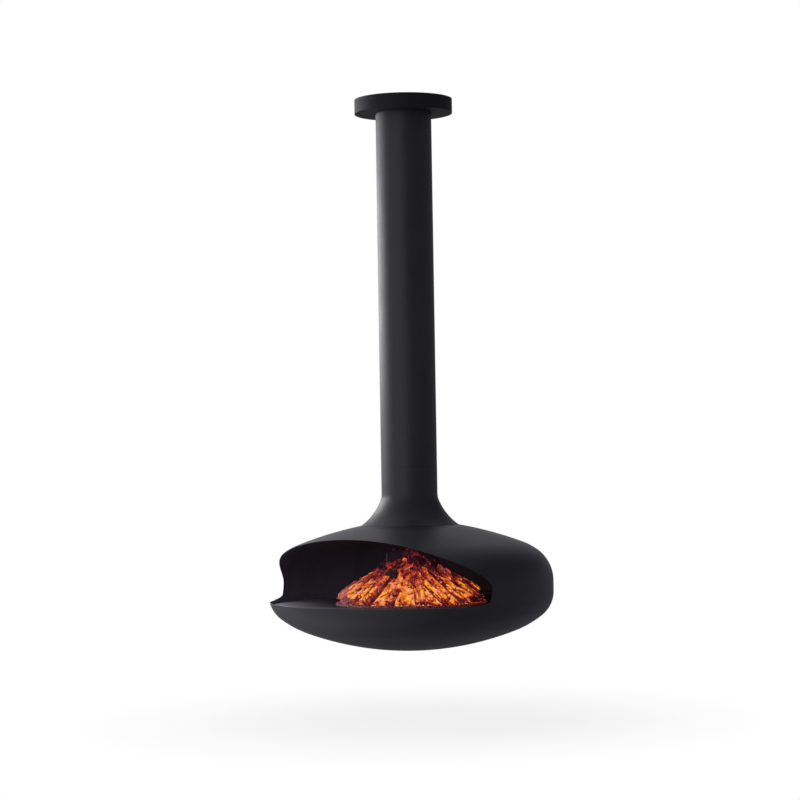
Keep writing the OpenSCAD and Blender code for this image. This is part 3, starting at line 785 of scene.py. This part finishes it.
def rings(shape):
    """Index grid of closed rings, of which the first and the last are one point each."""
    index = np.arange(math.prod(shape)).reshape(shape)
    index = np.concatenate([index, index[..., :1]], -1)
    index[..., [0, -1], :] = index[..., [0, -1], :1]
    return index


def directions(axis, outward):
    """Unit vectors along a piece, across it, and out of it on its outward side."""
    axis = axis / np.linalg.norm(axis, axis=-1, keepdims=True)
    side = np.cross(axis, outward)
    side = side / np.linalg.norm(side, axis=-1, keepdims=True)
    return axis, side, np.cross(side, axis)


def split_log(rng, foot, top, foot_r, top_r, bend):
    """Skin of one split log from its foot to its top.

    Round the log its radius is one over the soft sum of the cosines to four or five flat faces,
    each over the face's distance, which is a rounded polygon. Waves add splinters and a bent
    centre line, and narrow bell curves round the log that wander along it cut deep splits. Rings
    that shrink to a point close each end, pushed in and out along the log so that it is torn.
    Also returns each point's place in the log's own straight frame, how far it faces away from
    the heap, and its share of the way up the log.
    """
    rows, columns = 62, 64
    long = float(np.linalg.norm(top - foot))
    axis, side, up = directions(top - foot, np.array([foot[0], foot[1], 0.0]))
    up = up * math.copysign(1.0, up[2])
    t = np.concatenate([[0.0] * 3, np.linspace(0.0, 1.0, rows), [1.0] * 3])
    shrink = np.concatenate([[0.0, 0.5, 0.88], np.ones(rows), [0.88, 0.5, 0.0]])[:, None]
    a, along = np.meshgrid(np.linspace(0.0, TURN, columns, endpoint=False), t)
    faces = rng.integers(4, 6)
    normals = (np.arange(faces) + rng.uniform(-0.28, 0.28, faces)) * TURN / faces
    normals = normals + rng.uniform(0.0, TURN)
    reach = rng.uniform(0.78, 1.02, faces)
    lean = np.clip(np.cos(a[..., None] - normals), 0.0, None) / reach
    polygon = (lean**11).sum(-1) ** (-1.0 / 11)
    splits, split_w = rng.integers(3, 6), 0.12
    wander = along[..., None] * rng.uniform(1.5, 6.0, splits) + rng.uniform(0.0, TURN, splits)
    apart = a[..., None] - rng.uniform(0.0, TURN, splits) - 0.4 * np.sin(wander)
    apart = np.angle(np.exp(1j * apart))
    notch = (np.exp(-((apart / split_w) ** 2)) * rng.uniform(0.10, 0.30, splits)).sum(-1)
    creases = 1.0 - np.abs(waves(rng, a, along * 1.6, 9, 5.0))
    swell = 0.06 * waves(rng, a, along, 3, 9.0)
    shape = polygon * (1.0 + swell + 0.08 * creases - 0.04 - notch)
    shape = shape + 0.022 * waves(rng, a, along, 16, 40.0)
    girth = (foot_r + (top_r - foot_r) * along) * shape * shrink
    torn = 0.36 * waves(rng, a, along * 0.0, 5, 1.0) + 0.14 * waves(rng, a, along * 0.0, 14, 1.0)
    ends = np.where(along < 0.5, -1.0, 1.0) * np.clip(np.abs(along - 0.5) * 20.0 - 9.0, 0.0, 1.0)
    reach_along = along * long + torn * foot_r * ends * np.minimum(1.0, shrink * 1.2)
    sway = np.sin(math.pi * along) * bend
    # The way in which the log is bent, an angle round it that differs from log to log
    bent_to = bend * 400.0
    u, v = girth * np.cos(a), girth * np.sin(a)
    u_bent, v_bent = u + sway * math.cos(bent_to), v + sway * math.sin(bent_to)
    ways = (reach_along, axis), (u_bent, side), (v_bent, up)
    grid = foot + sum(part[..., None] * way for part, way in ways)
    shift = rng.uniform(0.0, 3.0)
    grain = np.stack([u + shift, v + shift, reach_along + shift], -1)
    # This value dims the glow as painted shade: lowest on the log's inward or under side and deep
    # in the splits
    outward = np.sin(a) * shrink - notch * 3.0
    return grid.reshape(-1, 3), rings(a.shape), grain.reshape(-1, 3), outward.ravel(), along.ravel()


def polar(radius, azimuth, height):
    """Point at a radius and an azimuth, at a height above the hearth floor."""
    return np.array([radius * math.cos(azimuth), radius * math.sin(azimuth), floor_z + height])


def on_heap(up_share, azimuth, lift):
    """Places on the heap's slope, each a share of the way up its outline, at an azimuth and
    lifted off the slope, with the directions up the slope, round the heap and outwards there."""
    line = spaced(HEAP_LINE, 200)
    climb = np.gradient(line, axis=0)
    climb /= np.linalg.norm(climb, axis=1)[:, None]
    part = np.linspace(0.0, 1.0, len(line))
    r, h, climb_r, climb_h = (np.interp(up_share, part, v) for v in (*line.T, *climb.T))
    c, s = np.cos(azimuth), np.sin(azimuth)
    rise = np.stack([climb_r * c, climb_r * s, climb_h], -1)
    outward = np.stack([climb_h * c, climb_h * s, -climb_r], -1)
    place = np.stack([r * c, r * s, floor_z + h], -1) + lift[:, None] * outward
    return place, rise, np.stack([-s, c, 0.0 * s], -1), outward


# ---------------------------------------------------------------- operators


class FIREPLACE_OT_studio(bpy.types.Operator):
    """Camera, lamps, world and a plain pale floor"""

    bl_idname = "fireplace.studio"
    bl_label = "Studio"

    def execute(self, context):
        look = context.scene.fireplace_studio
        context.scene.view_settings.view_transform = "Standard"
        self.camera(context, look)
        self.world(context, look)
        self.floor(look)
        self.lamps(look)
        return {"FINISHED"}

    def camera(self, context, look):
        """Looks level at the flue's axis, then up, to the left and leans."""
        data = bpy.data.cameras.new("camera")
        data.lens, data.sensor_width, data.clip_end = look.lens, 36.0, 200.0
        camera = context.scene.camera = put("camera", data)
        ahead = Vector((-look.eye[0], -look.eye[1], 0.0)).normalized()
        ahead = Matrix.Rotation(look.yaw, 3, "Z") @ ahead
        right = ahead.cross(Vector((0.0, 0.0, 1.0)))
        ahead = ahead * math.cos(look.pitch) + Vector((0.0, 0.0, math.sin(look.pitch)))
        turned = Matrix((right, right.cross(ahead), -ahead)).transposed()
        turned = turned @ Matrix.Rotation(-look.roll, 3, "Z")
        camera.matrix_world = Matrix.Translation(look.eye) @ turned.to_4x4()

    def world(self, context, look):
        """White behind everything. The steel mirrors walls that are brightest on the left and a
        little behind, and all other light comes evenly from all round."""
        r = Recipe("studio world", bpy.data.worlds.new("studio"))
        context.scene.world = r.owner
        seen, glossy, through = r.rays("Is Camera Ray", "Is Glossy Ray", "Is Transmission Ray")
        mirrored = glossy.maths("MAXIMUM", through)
        way = r.node("ShaderNodeTexCoord", output="Generated")
        towards = {0: way, 1: (-0.95, -0.02, 0.30)}
        left = r.node("ShaderNodeVectorMath", {"operation": "DOT_PRODUCT"}, towards, "Value")
        up = r.axes(way)[2]
        wall = left.step(0.0, 1.0) * 0.72 + 0.22
        wall = wall - up.step(0.1, 0.4) * 0.13 + up.step(0.7, 0.95) * 0.14
        strength = seen + (1 - seen) * (mirrored * wall + (1 - mirrored) * look.ambient)
        tint = r.mix(seen, (0.93, 0.92, 1.0), (1.0, 1.0, 1.0))
        light = r.node("ShaderNodeBackground", values={"Color": tint, "Strength": strength})
        r.end(light, "ShaderNodeOutputWorld")

    def floor(self, look):
        """A disc that the camera sees as white but for the object's soft shadow. The steel
        mirrors only its part in front on the left as white."""
        radii = np.concatenate([[0.0], np.geomspace(0.2, 60.0, 40)])
        low = np.full(radii.size, bowl_bottom_z - look.floor_gap)
        points, index = lathe(np.stack([radii, low], -1), 96)
        faces = [list(dict.fromkeys(face)) for face in quads(index[:, ::-1]).tolist()]
        mesh = bpy.data.meshes.new("floor")
        mesh.from_pydata(points.tolist(), [], faces)
        r = Recipe("pale floor")
        x, y, _, out = r.turned(r.place())
        seen, mirrored = r.rays("Is Camera Ray", "Is Glossy Ray")
        grey = r.mix(seen, (0.34, 0.34, 0.35), (0.85, 0.85, 0.85))
        lit = r.node("ShaderNodeBsdfDiffuse", values={"Color": grey})
        values = {"Color": (1.0, 1.0, 1.0, 1.0), "Strength": 1.0}
        white = r.node("ShaderNodeEmission", values=values)
        front_left = (x * -0.8 - y * 0.6).step(-0.5, 0.95) * y.step(-0.25, -0.54)
        part = seen * (1 - out.step(1.7, 0.5) * 0.2) + mirrored * front_left * 0.66
        r.end(r.node("ShaderNodeMixShader", values={0: part, 1: lit, 2: white}))
        mesh.materials.append(r.owner)
        put("floor", mesh)

    def lamps(self, look):
        """A wide soft window on the left, a little behind, and a weak wide lamp by the camera."""
        aim = Vector((0.0, 0.0, -1.5))
        for name, place, size, power, tint in (
            ("key lamp", (-4.7, -0.6, -0.36), (5.0, 1.4), look.key, (1.0, 0.98, 0.99)),
            ("fill lamp", (1.4, -7.2, -1.0), (7.0, 7.0), look.fill, (0.88, 0.88, 1.0)),
        ):
            data = bpy.data.lights.new(name, "AREA")
            data.shape, data.energy, data.color = "RECTANGLE", power, tint
            data.size, data.size_y = size
            lamp = put(name, data)
            lamp.location = place
            lamp.rotation_euler = (lamp.location - aim).to_track_quat("Z", "Y").to_euler()


class FIREPLACE_OT_hood(bpy.types.Operator):
    """Hood: the turned upper shell with the mouth cut through it"""

    bl_idname = "fireplace.hood"
    bl_label = "Hood"

    def execute(self, context):
        s = context.scene.fireplace_body
        upper_rows, columns = 44, 300
        sheet = both_faces(*hood_stretches(s), s.wall, 0.001)
        ground_out, ground_in, wall_out, wall_in = (
            hood_wall(s, fine, growth, upper_rows, columns)
            for growth in (s.edge, 0.0)
            for fine in sheet
        )
        rows = len(wall_out) - upper_rows
        rim_out, rim_in = rim(wall_out, rows), rim(wall_in, rows)
        through = rim_in - rim_out
        through *= s.edge / np.linalg.norm(through, axis=1)[:, None]
        walls = [ground_out.reshape(-1, 3), ground_in.reshape(-1, 3)]
        points = np.vstack([*walls, rim_out + through, rim_in - through])
        count = ground_out[..., 0].size
        index_out = np.arange(count).reshape(ground_out.shape[:2])
        index_out[rows - 1 :, -1] = index_out[rows - 1 :, 0]
        index_in = index_out + count
        middle = np.arange(2 * len(rim_out)).reshape(2, -1) + 2 * count
        strip = np.vstack([rim(index_out, rows), middle, rim(index_in, rows)])
        strip = np.hstack([strip, strip[:, :1]])
        throat = np.vstack([index_out[-1], index_in[-1]])
        inner = [quads(index_in)[:, ::-1], quads(strip)[:, ::-1]]
        faces = np.vstack([quads(index_out), *inner, quads(throat)])
        shares = np.repeat([0.0, 1.0, 0.0, 0.5], [count, count, len(rim_out), len(rim_in)])
        paint = stove_paint("hood paint", context.scene.fireplace_paint, inside=True)
        slot, within = "black_paint", {"inside": shares}
        piece = solid("painted_hood", points, faces, "fireplace", paint, attributes=within)
        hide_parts("hood")
        return {"FINISHED"}


class FIREPLACE_OT_bowl(bpy.types.Operator):
    """Bowl: the closed lower shell"""

    bl_idname = "fireplace.bowl"
    bl_label = "Bowl"

    def execute(self, context):
        s = context.scene.fireplace_body
        outside, inside = both_faces(*bowl_stretches(s), -s.wall, 0.008)
        outside[-1, 0] = inside[-1, 0] = 0.0
        through = (inside[0] - outside[0]) * s.edge / s.wall
        down = outside[1] - outside[0]
        down *= s.edge / np.linalg.norm(down)
        edges = [outside[0] + down, outside[0] + through, inside[0] - through, inside[0] + down]
        columns = 240
        points, index = lathe(np.vstack([outside[:0:-1], edges, inside[1:]]), columns)
        counts = [columns * (len(line) + 1) for line in (outside, inside)]
        within = {"inside": np.repeat([0.0, 1.0], counts)}
        paint = stove_paint("bowl paint", context.scene.fireplace_paint, inside=True)
        faces, slot = quads(index), "black_paint"
        piece = solid("painted_bowl", points, faces, "fireplace", paint, attributes=within)
        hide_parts("bowl")
        return {"FINISHED"}


class FIREPLACE_OT_flue(bpy.types.Operator):
    """Flue pipe and the neck that flares out to the hood"""

    bl_idname = "fireplace.flue"
    bl_label = "Flue pipe and neck"

    def execute(self, context):
        s = context.scene.fireplace_flue
        paint = stove_paint("flue paint", context.scene.fireplace_paint)
        joint_z, top_z, seat_z = neck_high.z, pipe_high.z, neck_low.z
        sides = [(s.pipe_r, top_z, joint_z), (s.pipe_r - s.wall, joint_z, top_z)]
        loop = np.vstack([spaced(np.array([[r, a], [r, b]]), 60) for r, a, b in sides])
        pipe = turned_sheet("painted_pipe", loop, 144, "fireplace", paint)
        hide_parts("flue_pipe")
        stretches = self.neck_stretches(s, joint_z, seat_z)
        start, heading = (s.pipe_r, joint_z), -math.pi / 2
        outside, inside = both_faces(start, heading, stretches, -s.wall, 0.004)
        foot_r = np.interp(seat_z, inside[::-1, 1], inside[::-1, 0])
        kept = inside[inside[:, 1] > seat_z]
        loop = np.vstack([outside, [[foot_r, seat_z]], kept[::-1]])
        neck = turned_sheet("painted_neck", loop, 192, "fireplace", paint)
        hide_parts("neck")
        return {"FINISHED"}

    @staticmethod
    def neck_stretches(s, joint_z, seat_z):
        """Straight tube, flare, then the skirt, which turns until it meets the hood's seat."""
        start_r = s.pipe_r + s.flare_r * (1.0 - math.cos(s.flare_turn))
        end_turn = math.acos(math.cos(s.flare_turn) - (neck_high.x - start_r) / s.skirt_r)
        skirt_drop = s.skirt_r * (math.sin(end_turn) - math.sin(s.flare_turn))
        drop = s.flare_r * math.sin(s.flare_turn) + skirt_drop
        return [
            (0.0, 0.0, joint_z - seat_z - drop),
            (s.flare_r, s.flare_turn, 0.0),
            (s.skirt_r, end_turn - s.flare_turn, 0.0),
        ]


class FIREPLACE_OT_fire(bpy.types.Operator):
    """Fire: split logs leaning together over embers, with sticks and broken pieces on them"""

    bl_idname = "fireplace.fire"
    bl_label = "Fire"

    def execute(self, context):
        look = context.scene.fireplace_fire
        self.wood = burning("burning wood", look, False)
        self.rng = np.random.default_rng(look.seed)
        self.logs(look)
        self.embers(look)
        self.sticks(look.sticks)
        self.crown(look.crown)
        self.cinders(look.cinders)
        self.single_pieces()
        return {"FINISHED"}

    def logs(self, look):
        """The logs of the CAD, split and charred."""
        rng = self.rng
        # Azimuth of the first of eight logs in eighths of a turn, radius and height of the
        # log's foot and of its top, and its own radii there
        kinds = (
            ("long_log", 0.0, (0.300, 0.022), (0.042, 0.184), 0.020, 0.012),
            ("short_log", 0.5, (0.300, 0.022), (0.178, 0.099), 0.020, 0.016),
            ("top_log", 0.5, (0.140, 0.128), (0.046, 0.223), 0.014, 0.011),
        )
        for kind, offset, foot, top, foot_r, top_r in kinds:
            for i in range(8):
                azimuth = TURN / 8 * (i + offset)
                dark = toward(azimuth, DARK_SIDE, 4)
                near = polar(foot[0] - 0.012 * dark, azimuth + rng.uniform(-0.06, 0.06), foot[1])
                far = polar(top[0], azimuth + rng.uniform(-0.12, 0.12), top[1])
                girth = look.plump * rng.uniform(0.9, 1.1) * (1.0 - 0.2 * dark)
                bend = rng.uniform(0.001, 0.006)
                skin, index, grain, outward, along = split_log(
                    rng, near, far, foot_r * girth, top_r * girth, bend
                )
                warmth = np.full(len(skin), rng.uniform(-0.5, 0.7) - 0.4 * dark)
                ashy = toward(azimuth, ASHY_SIDE, 5) * np.clip(1.0 - along * 1.6, 0.0, 1.0)
                extra = {"grain": grain, "outward": outward, "ashy": ashy, "warmth": warmth}
                name, faces = f"charred_{kind}_{i + 1}", quads(index)
                piece = solid(name, skin, faces, "fire", self.wood, 75.0, extra)
                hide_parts(f"{kind}_{i + 1}")

    def embers(self, look):
        """Heap of embers: a cone on a lathe, its radius and height pushed about by lumps."""
        rng = self.rng
        lump_h = 0.0045
        slope = spaced(np.array([[0.0, 0.168], [0.05, 0.155], [0.262, 0.004], [0.268, 0.0]]), 84)
        points, index = lathe(np.vstack([slope, [[0.0, 0.0]]]), 220)
        a = np.arctan2(points[:, 1], points[:, 0])
        r = np.hypot(points[:, 0], points[:, 1])
        lumps = waves(rng, a, r * 30.0, 22, 6.0, 30) + 0.6 * waves(rng, a, r * 60.0, 60, 7.0, 40)
        give = np.clip(points[:, 2] / 0.03, 0.0, 1.0) * lump_h
        points[:, :2] *= (1.0 + give * lumps * 0.6 / np.maximum(r, 0.04))[:, None]
        points[:, 2] = points[:, 2] + give * np.abs(lumps) + tray_z
        # Painted shade: the top of the heap gets an outward value of 0.55, which dims its glow a
        # little, and the underside -1
        facing = np.where(points[:, 2] > tray_z + 1e-4, 0.55, -1.0)
        extra = {"grain": points * 0.7 + 1.3, "outward": facing}
        finish = burning("embers", look, True)
        piece = solid("ember_heap", points, quads(index), "fire", finish, 75.0, extra)
        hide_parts("ember_bed")

    def strew(self, name, place, axis, outward, half, radius, rows, columns, rough, warmth, ashy):
        """One mesh of many small closed pieces that ride on the fire, one at each place.

        A row of a piece lies at a share t of its half length, from -1 to 1, and is a ring round
        its axis whose radius is the fourth root of 1 less t to the fourth, so the ends close.
        Each corner is moved in or out and along by its own random share, so it is angular.
        """
        rng = self.rng
        axis, side, up = directions(axis, outward)
        t = np.linspace(-1.0, 1.0, rows)[None, :, None]
        start = rng.uniform(0.0, TURN, (len(place), 1, 1))
        a = np.linspace(0.0, TURN, columns, endpoint=False) + start
        size = (len(place), rows, columns)
        closing = (1.0 - t**4) ** 0.25
        girth = radius[:, None, None] * closing * (1.0 + rough * rng.uniform(-1.0, 1.0, size))
        slip = rng.uniform(-0.3, 0.3, size) / rows * (np.abs(t) < 1.0)
        along = half[:, None, None] * (t + slip)
        u, v = girth * np.cos(a), girth * np.sin(a)
        ways = (along, axis), (u, side), (v, up)
        parts = [part[..., None] * way[:, None, None] for part, way in ways]
        grid = place[:, None, None] + sum(parts)
        shift = rng.uniform(0.0, 3.0, (len(place), 1, 1))
        extra = {
            "grain": np.stack([u + shift, v + shift, along + shift], -1).reshape(-1, 3),
            # Painted shade: this value dims the glow on the side of each piece that faces into the
            # heap
            "outward": (np.sin(a) * closing).ravel(),
            "warmth": warmth.repeat(rows * columns),
            "ashy": ashy.repeat(rows * columns),
        }
        skin, faces = grid.reshape(-1, 3), quads(rings(size))
        solid(name, skin, faces, "fire", self.wood, attributes=extra)

    def sticks(self, count):
        """Thin split sticks that lie on the heap, most of them up its slope."""
        rng = self.rng
        slope = 0.36
        half = rng.uniform(0.016, 0.062, count)
        radius = rng.uniform(0.0038, 0.0080, count) + half * 0.05
        lowest = half / slope
        share_up = lowest + (0.99 - lowest) * rng.uniform(0.0, 1.0, count) ** 1.15
        azimuth = rng.uniform(0.0, TURN, count)
        lift = rng.uniform(-0.5, 0.9, count) * radius
        place, rise, round_it, outward = on_heap(share_up, azimuth, lift)
        skew = rng.normal(0.0, 0.42, count)[:, None]
        axis = rise * np.cos(skew) + round_it * np.sin(skew)
        axis = axis + outward * rng.uniform(-0.08, 0.14, (count, 1))
        warmth = rng.uniform(-1.2, 1.1, count)
        ashy = toward(azimuth, ASHY_SIDE, 8) * (share_up < 0.4) * rng.uniform(0.0, 1.2, count)
        self.strew("split_sticks", place, axis, outward, half, radius, 9, 7, 0.24, warmth, ashy)

    def crown(self, count):
        """Charred lumps round the top of the heap."""
        rng = self.rng
        half = rng.uniform(0.013, 0.030, count)
        radius = half * rng.uniform(0.45, 0.8, count)
        azimuth = rng.uniform(0.0, TURN, count)
        share_up = rng.uniform(0.62, 0.97, count)
        place, rise, round_it, outward = on_heap(share_up, azimuth, radius * 0.35)
        axis = rise + round_it * rng.normal(0.0, 1.0, (count, 1))
        axis = axis + outward * rng.normal(0.0, 0.35, (count, 1))
        warmth, ashy = rng.uniform(-1.3, 0.1, count), np.zeros(count)
        self.strew("charred_lumps", place, axis, outward, half, radius, 8, 9, 0.2, warmth, ashy)

    def cinders(self, count):
        """Small broken pieces: two in five lie along the tray's rim, the rest on the heap."""
        rng = self.rng
        half = rng.uniform(0.0022, 0.0065, count)
        radius = half * rng.uniform(0.55, 0.95, count)
        azimuth = rng.uniform(0.0, TURN, count)
        share_up = rng.uniform(0.03, 0.98, count)
        place, rise, round_it, outward = on_heap(share_up, azimuth, radius * 0.8)
        on_rim = rng.uniform(0.0, 1.0, count) < 0.4
        r = rng.uniform(0.306, 0.3205, count)
        tray = np.stack([r * np.cos(azimuth), r * np.sin(azimuth), tray_z + radius * 0.8], -1)
        place = np.where(on_rim[:, None], tray, place)
        axis = rise * rng.normal(0.0, 1.0, (count, 1)) + round_it
        axis = axis + outward * rng.normal(0.0, 0.4, (count, 1))
        near_ash = 0.3 + 0.7 * toward(azimuth, ASHY_SIDE, 4)
        glow = on_rim * (0.9 - near_ash - 0.9 * toward(azimuth, DARK_SIDE, 4))
        warmth = rng.uniform(-1.2, 1.2, count) + glow
        rim_ash = rng.uniform(0.0, 1.6, count) * near_ash
        ashy = np.where(on_rim, rim_ash, rng.uniform(-0.6, 0.6, count))
        self.strew("cinders", place, axis, outward, half, radius, 5, 6, 0.26, warmth, ashy)

    def single_pieces(self):
        """Pieces with a place of their own on the heap's mouth side.

        Each row: azimuth in degrees, share of the way up, lift, skew from straight up the slope,
        tilt outwards, half length, radius, warmth, ash.
        """
        table = np.array([
            (-77.0, 0.545, 0.016, 1.45, 0.05, 0.034, 0.009, -3.6, 0.0),
            (-73.0, 0.50, 0.014, 1.60, 0.00, 0.020, 0.012, -3.6, 0.0),
            (-64.0, 0.79, 0.010, 0.35, 0.10, 0.017, 0.010, 2.4, 0.0),
            (-70.0, 0.73, 0.008, 0.95, 0.10, 0.030, 0.0075, 1.0, 0.0),
            (-52.0, 0.69, 0.012, 1.05, 0.05, 0.036, 0.0085, 0.8, 0.35),
            (-112.0, 0.80, 0.020, 0.25, 1.10, 0.029, 0.0036, -2.6, 0.9),
            (-139.0, 0.40, 0.010, 0.90, 0.60, 0.010, 0.008, -2.0, 0.8),
            (27.0, 0.58, 0.008, 0.30, 0.30, 0.017, 0.011, 0.9, 0.6),
            (14.0, 0.63, 0.010, -0.60, 0.10, 0.013, 0.009, 0.7, 0.8),
            (11.0, 0.70, 0.012, 0.10, 0.20, 0.007, 0.005, 2.0, 1.0),
            (-63.0, 0.13, 0.010, 1.40, 0.00, 0.014, 0.011, -3.4, 0.0),
            (-69.0, 0.35, 0.010, 1.50, 0.00, 0.024, 0.005, 1.6, 0.3),
            (-95.0, 0.85, 0.012, 0.60, 0.00, 0.032, 0.015, -2.6, 0.0),
            (-60.0, 0.93, 0.010, 1.20, 0.00, 0.026, 0.012, -1.0, 0.3),
            (-30.0, 0.80, 0.010, -0.70, 0.00, 0.032, 0.015, -2.2, 0.0),
            (-5.0, 0.68, 0.012, 0.80, 0.10, 0.030, 0.015, -2.2, 0.0),
            (2.0, 0.84, 0.010, -0.30, 0.20, 0.028, 0.013, -2.2, 0.0),
        ])
        azimuth, share_up, lift, skew, tilt, half, radius, warmth, ashy = table.T
        place, rise, round_it, outward = on_heap(share_up, np.radians(azimuth), lift)
        skew, tilt = skew[:, None], tilt[:, None]
        axis = rise * np.cos(skew) + round_it * np.sin(skew) + outward * tilt
        self.strew(
            "broken_branches", place, axis, outward, half, radius, 10, 10, 0.16, warmth, ashy
        )


class FIREPLACE_OT_fittings(bpy.types.Operator):
    """Finishes of the parts that keep their CAD shape"""

    bl_idname = "fireplace.fittings"
    bl_label = "Fittings"

    def execute(self, context):
        steels = {
            "black_screws": ("blackened screws", (0.035, 0.035, 0.038), 0.42, 0.8),
            "zinc_steel": ("zinc plate", (0.52, 0.53, 0.55), 0.34, 1.0, (90.0, 90.0, 90.0)),
            "stainless_steel": ("stainless sheet", (0.56, 0.56, 0.57), 0.27),
            "race_steel": ("ground races", (0.42, 0.42, 0.43), 0.2, 1.0, (30.0, 30.0, 900.0)),
            "ball_steel": ("polished balls", (0.62, 0.62, 0.63), 0.1, 1.0, (60.0, 60.0, 60.0)),
            "cage_brass": ("brass cage", (0.56, 0.38, 0.13), 0.33, 1.0, (40.0, 40.0, 200.0)),
        }
        paint = context.scene.fireplace_paint
        finishes = {slot: plain_steel(*facts) for slot, facts in steels.items()} | {
            # The rose's paint is darkened to 0.6 as painted shade from the ceiling over it
            "black_paint": stove_paint("rose paint with painted shade", paint, painted_shade_factor=0.6, dull=0.1, gloss=0.22),
            "floor_steel": floor_steel("blackened floor"),
            "primed_steel": primer("primed steel"),
            "heat_tinted_steel": heat_tint("heat-tinted steel"),
            "seal_rope": rope("braided seal"),
            "fibre_board": board("fibre board"),
            "knob_iron": cast_iron("cast knob"),
            "tray_iron": tray_iron("scaled tray", context.scene.fireplace_fire),
        }
        for node in cad_nodes.values():
            if node.hide_render:
                continue
            for place in node.material_slots:
                place.material = finishes[place.material.name.split(".")[0]]
        return {"FINISHED"}


class FIREPLACE_PT_panel(bpy.types.Panel):
    """Lists the steps that build the fireplace"""

    bl_idname = "FIREPLACE_PT_panel"
    bl_label = "Hanging fireplace"
    bl_space_type = "VIEW_3D"
    bl_region_type = "UI"
    bl_category = "Fireplace"

    def draw(self, context):
        for step in STEPS:
            self.layout.operator(step.bl_idname)


SETTINGS = {
    "fireplace_body": FirebodySizes,
    "fireplace_flue": FlueSizes,
    "fireplace_fire": FireLook,
    "fireplace_paint": PaintLook,
    "fireplace_studio": StudioLook,
}
STEPS = (
    FIREPLACE_OT_studio,
    FIREPLACE_OT_hood,
    FIREPLACE_OT_bowl,
    FIREPLACE_OT_flue,
    FIREPLACE_OT_fire,
    FIREPLACE_OT_fittings,
)


def register():
    for group in (*SETTINGS.values(), *STEPS, FIREPLACE_PT_panel):
        bpy.utils.register_class(group)
    for name, group in SETTINGS.items():
        setattr(bpy.types.Scene, name, PointerProperty(type=group))


def unregister():
    for name in SETTINGS:
        delattr(bpy.types.Scene, name)
    for group in reversed((*SETTINGS.values(), *STEPS, FIREPLACE_PT_panel)):
        bpy.utils.unregister_class(group)


def main():
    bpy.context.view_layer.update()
    register()
    bpy.ops.fireplace.studio()
    bpy.ops.fireplace.hood()
    bpy.ops.fireplace.bowl()
    bpy.ops.fireplace.flue()
    bpy.ops.fireplace.fire()
    bpy.ops.fireplace.fittings()


if __name__ == "__main__":
    main()
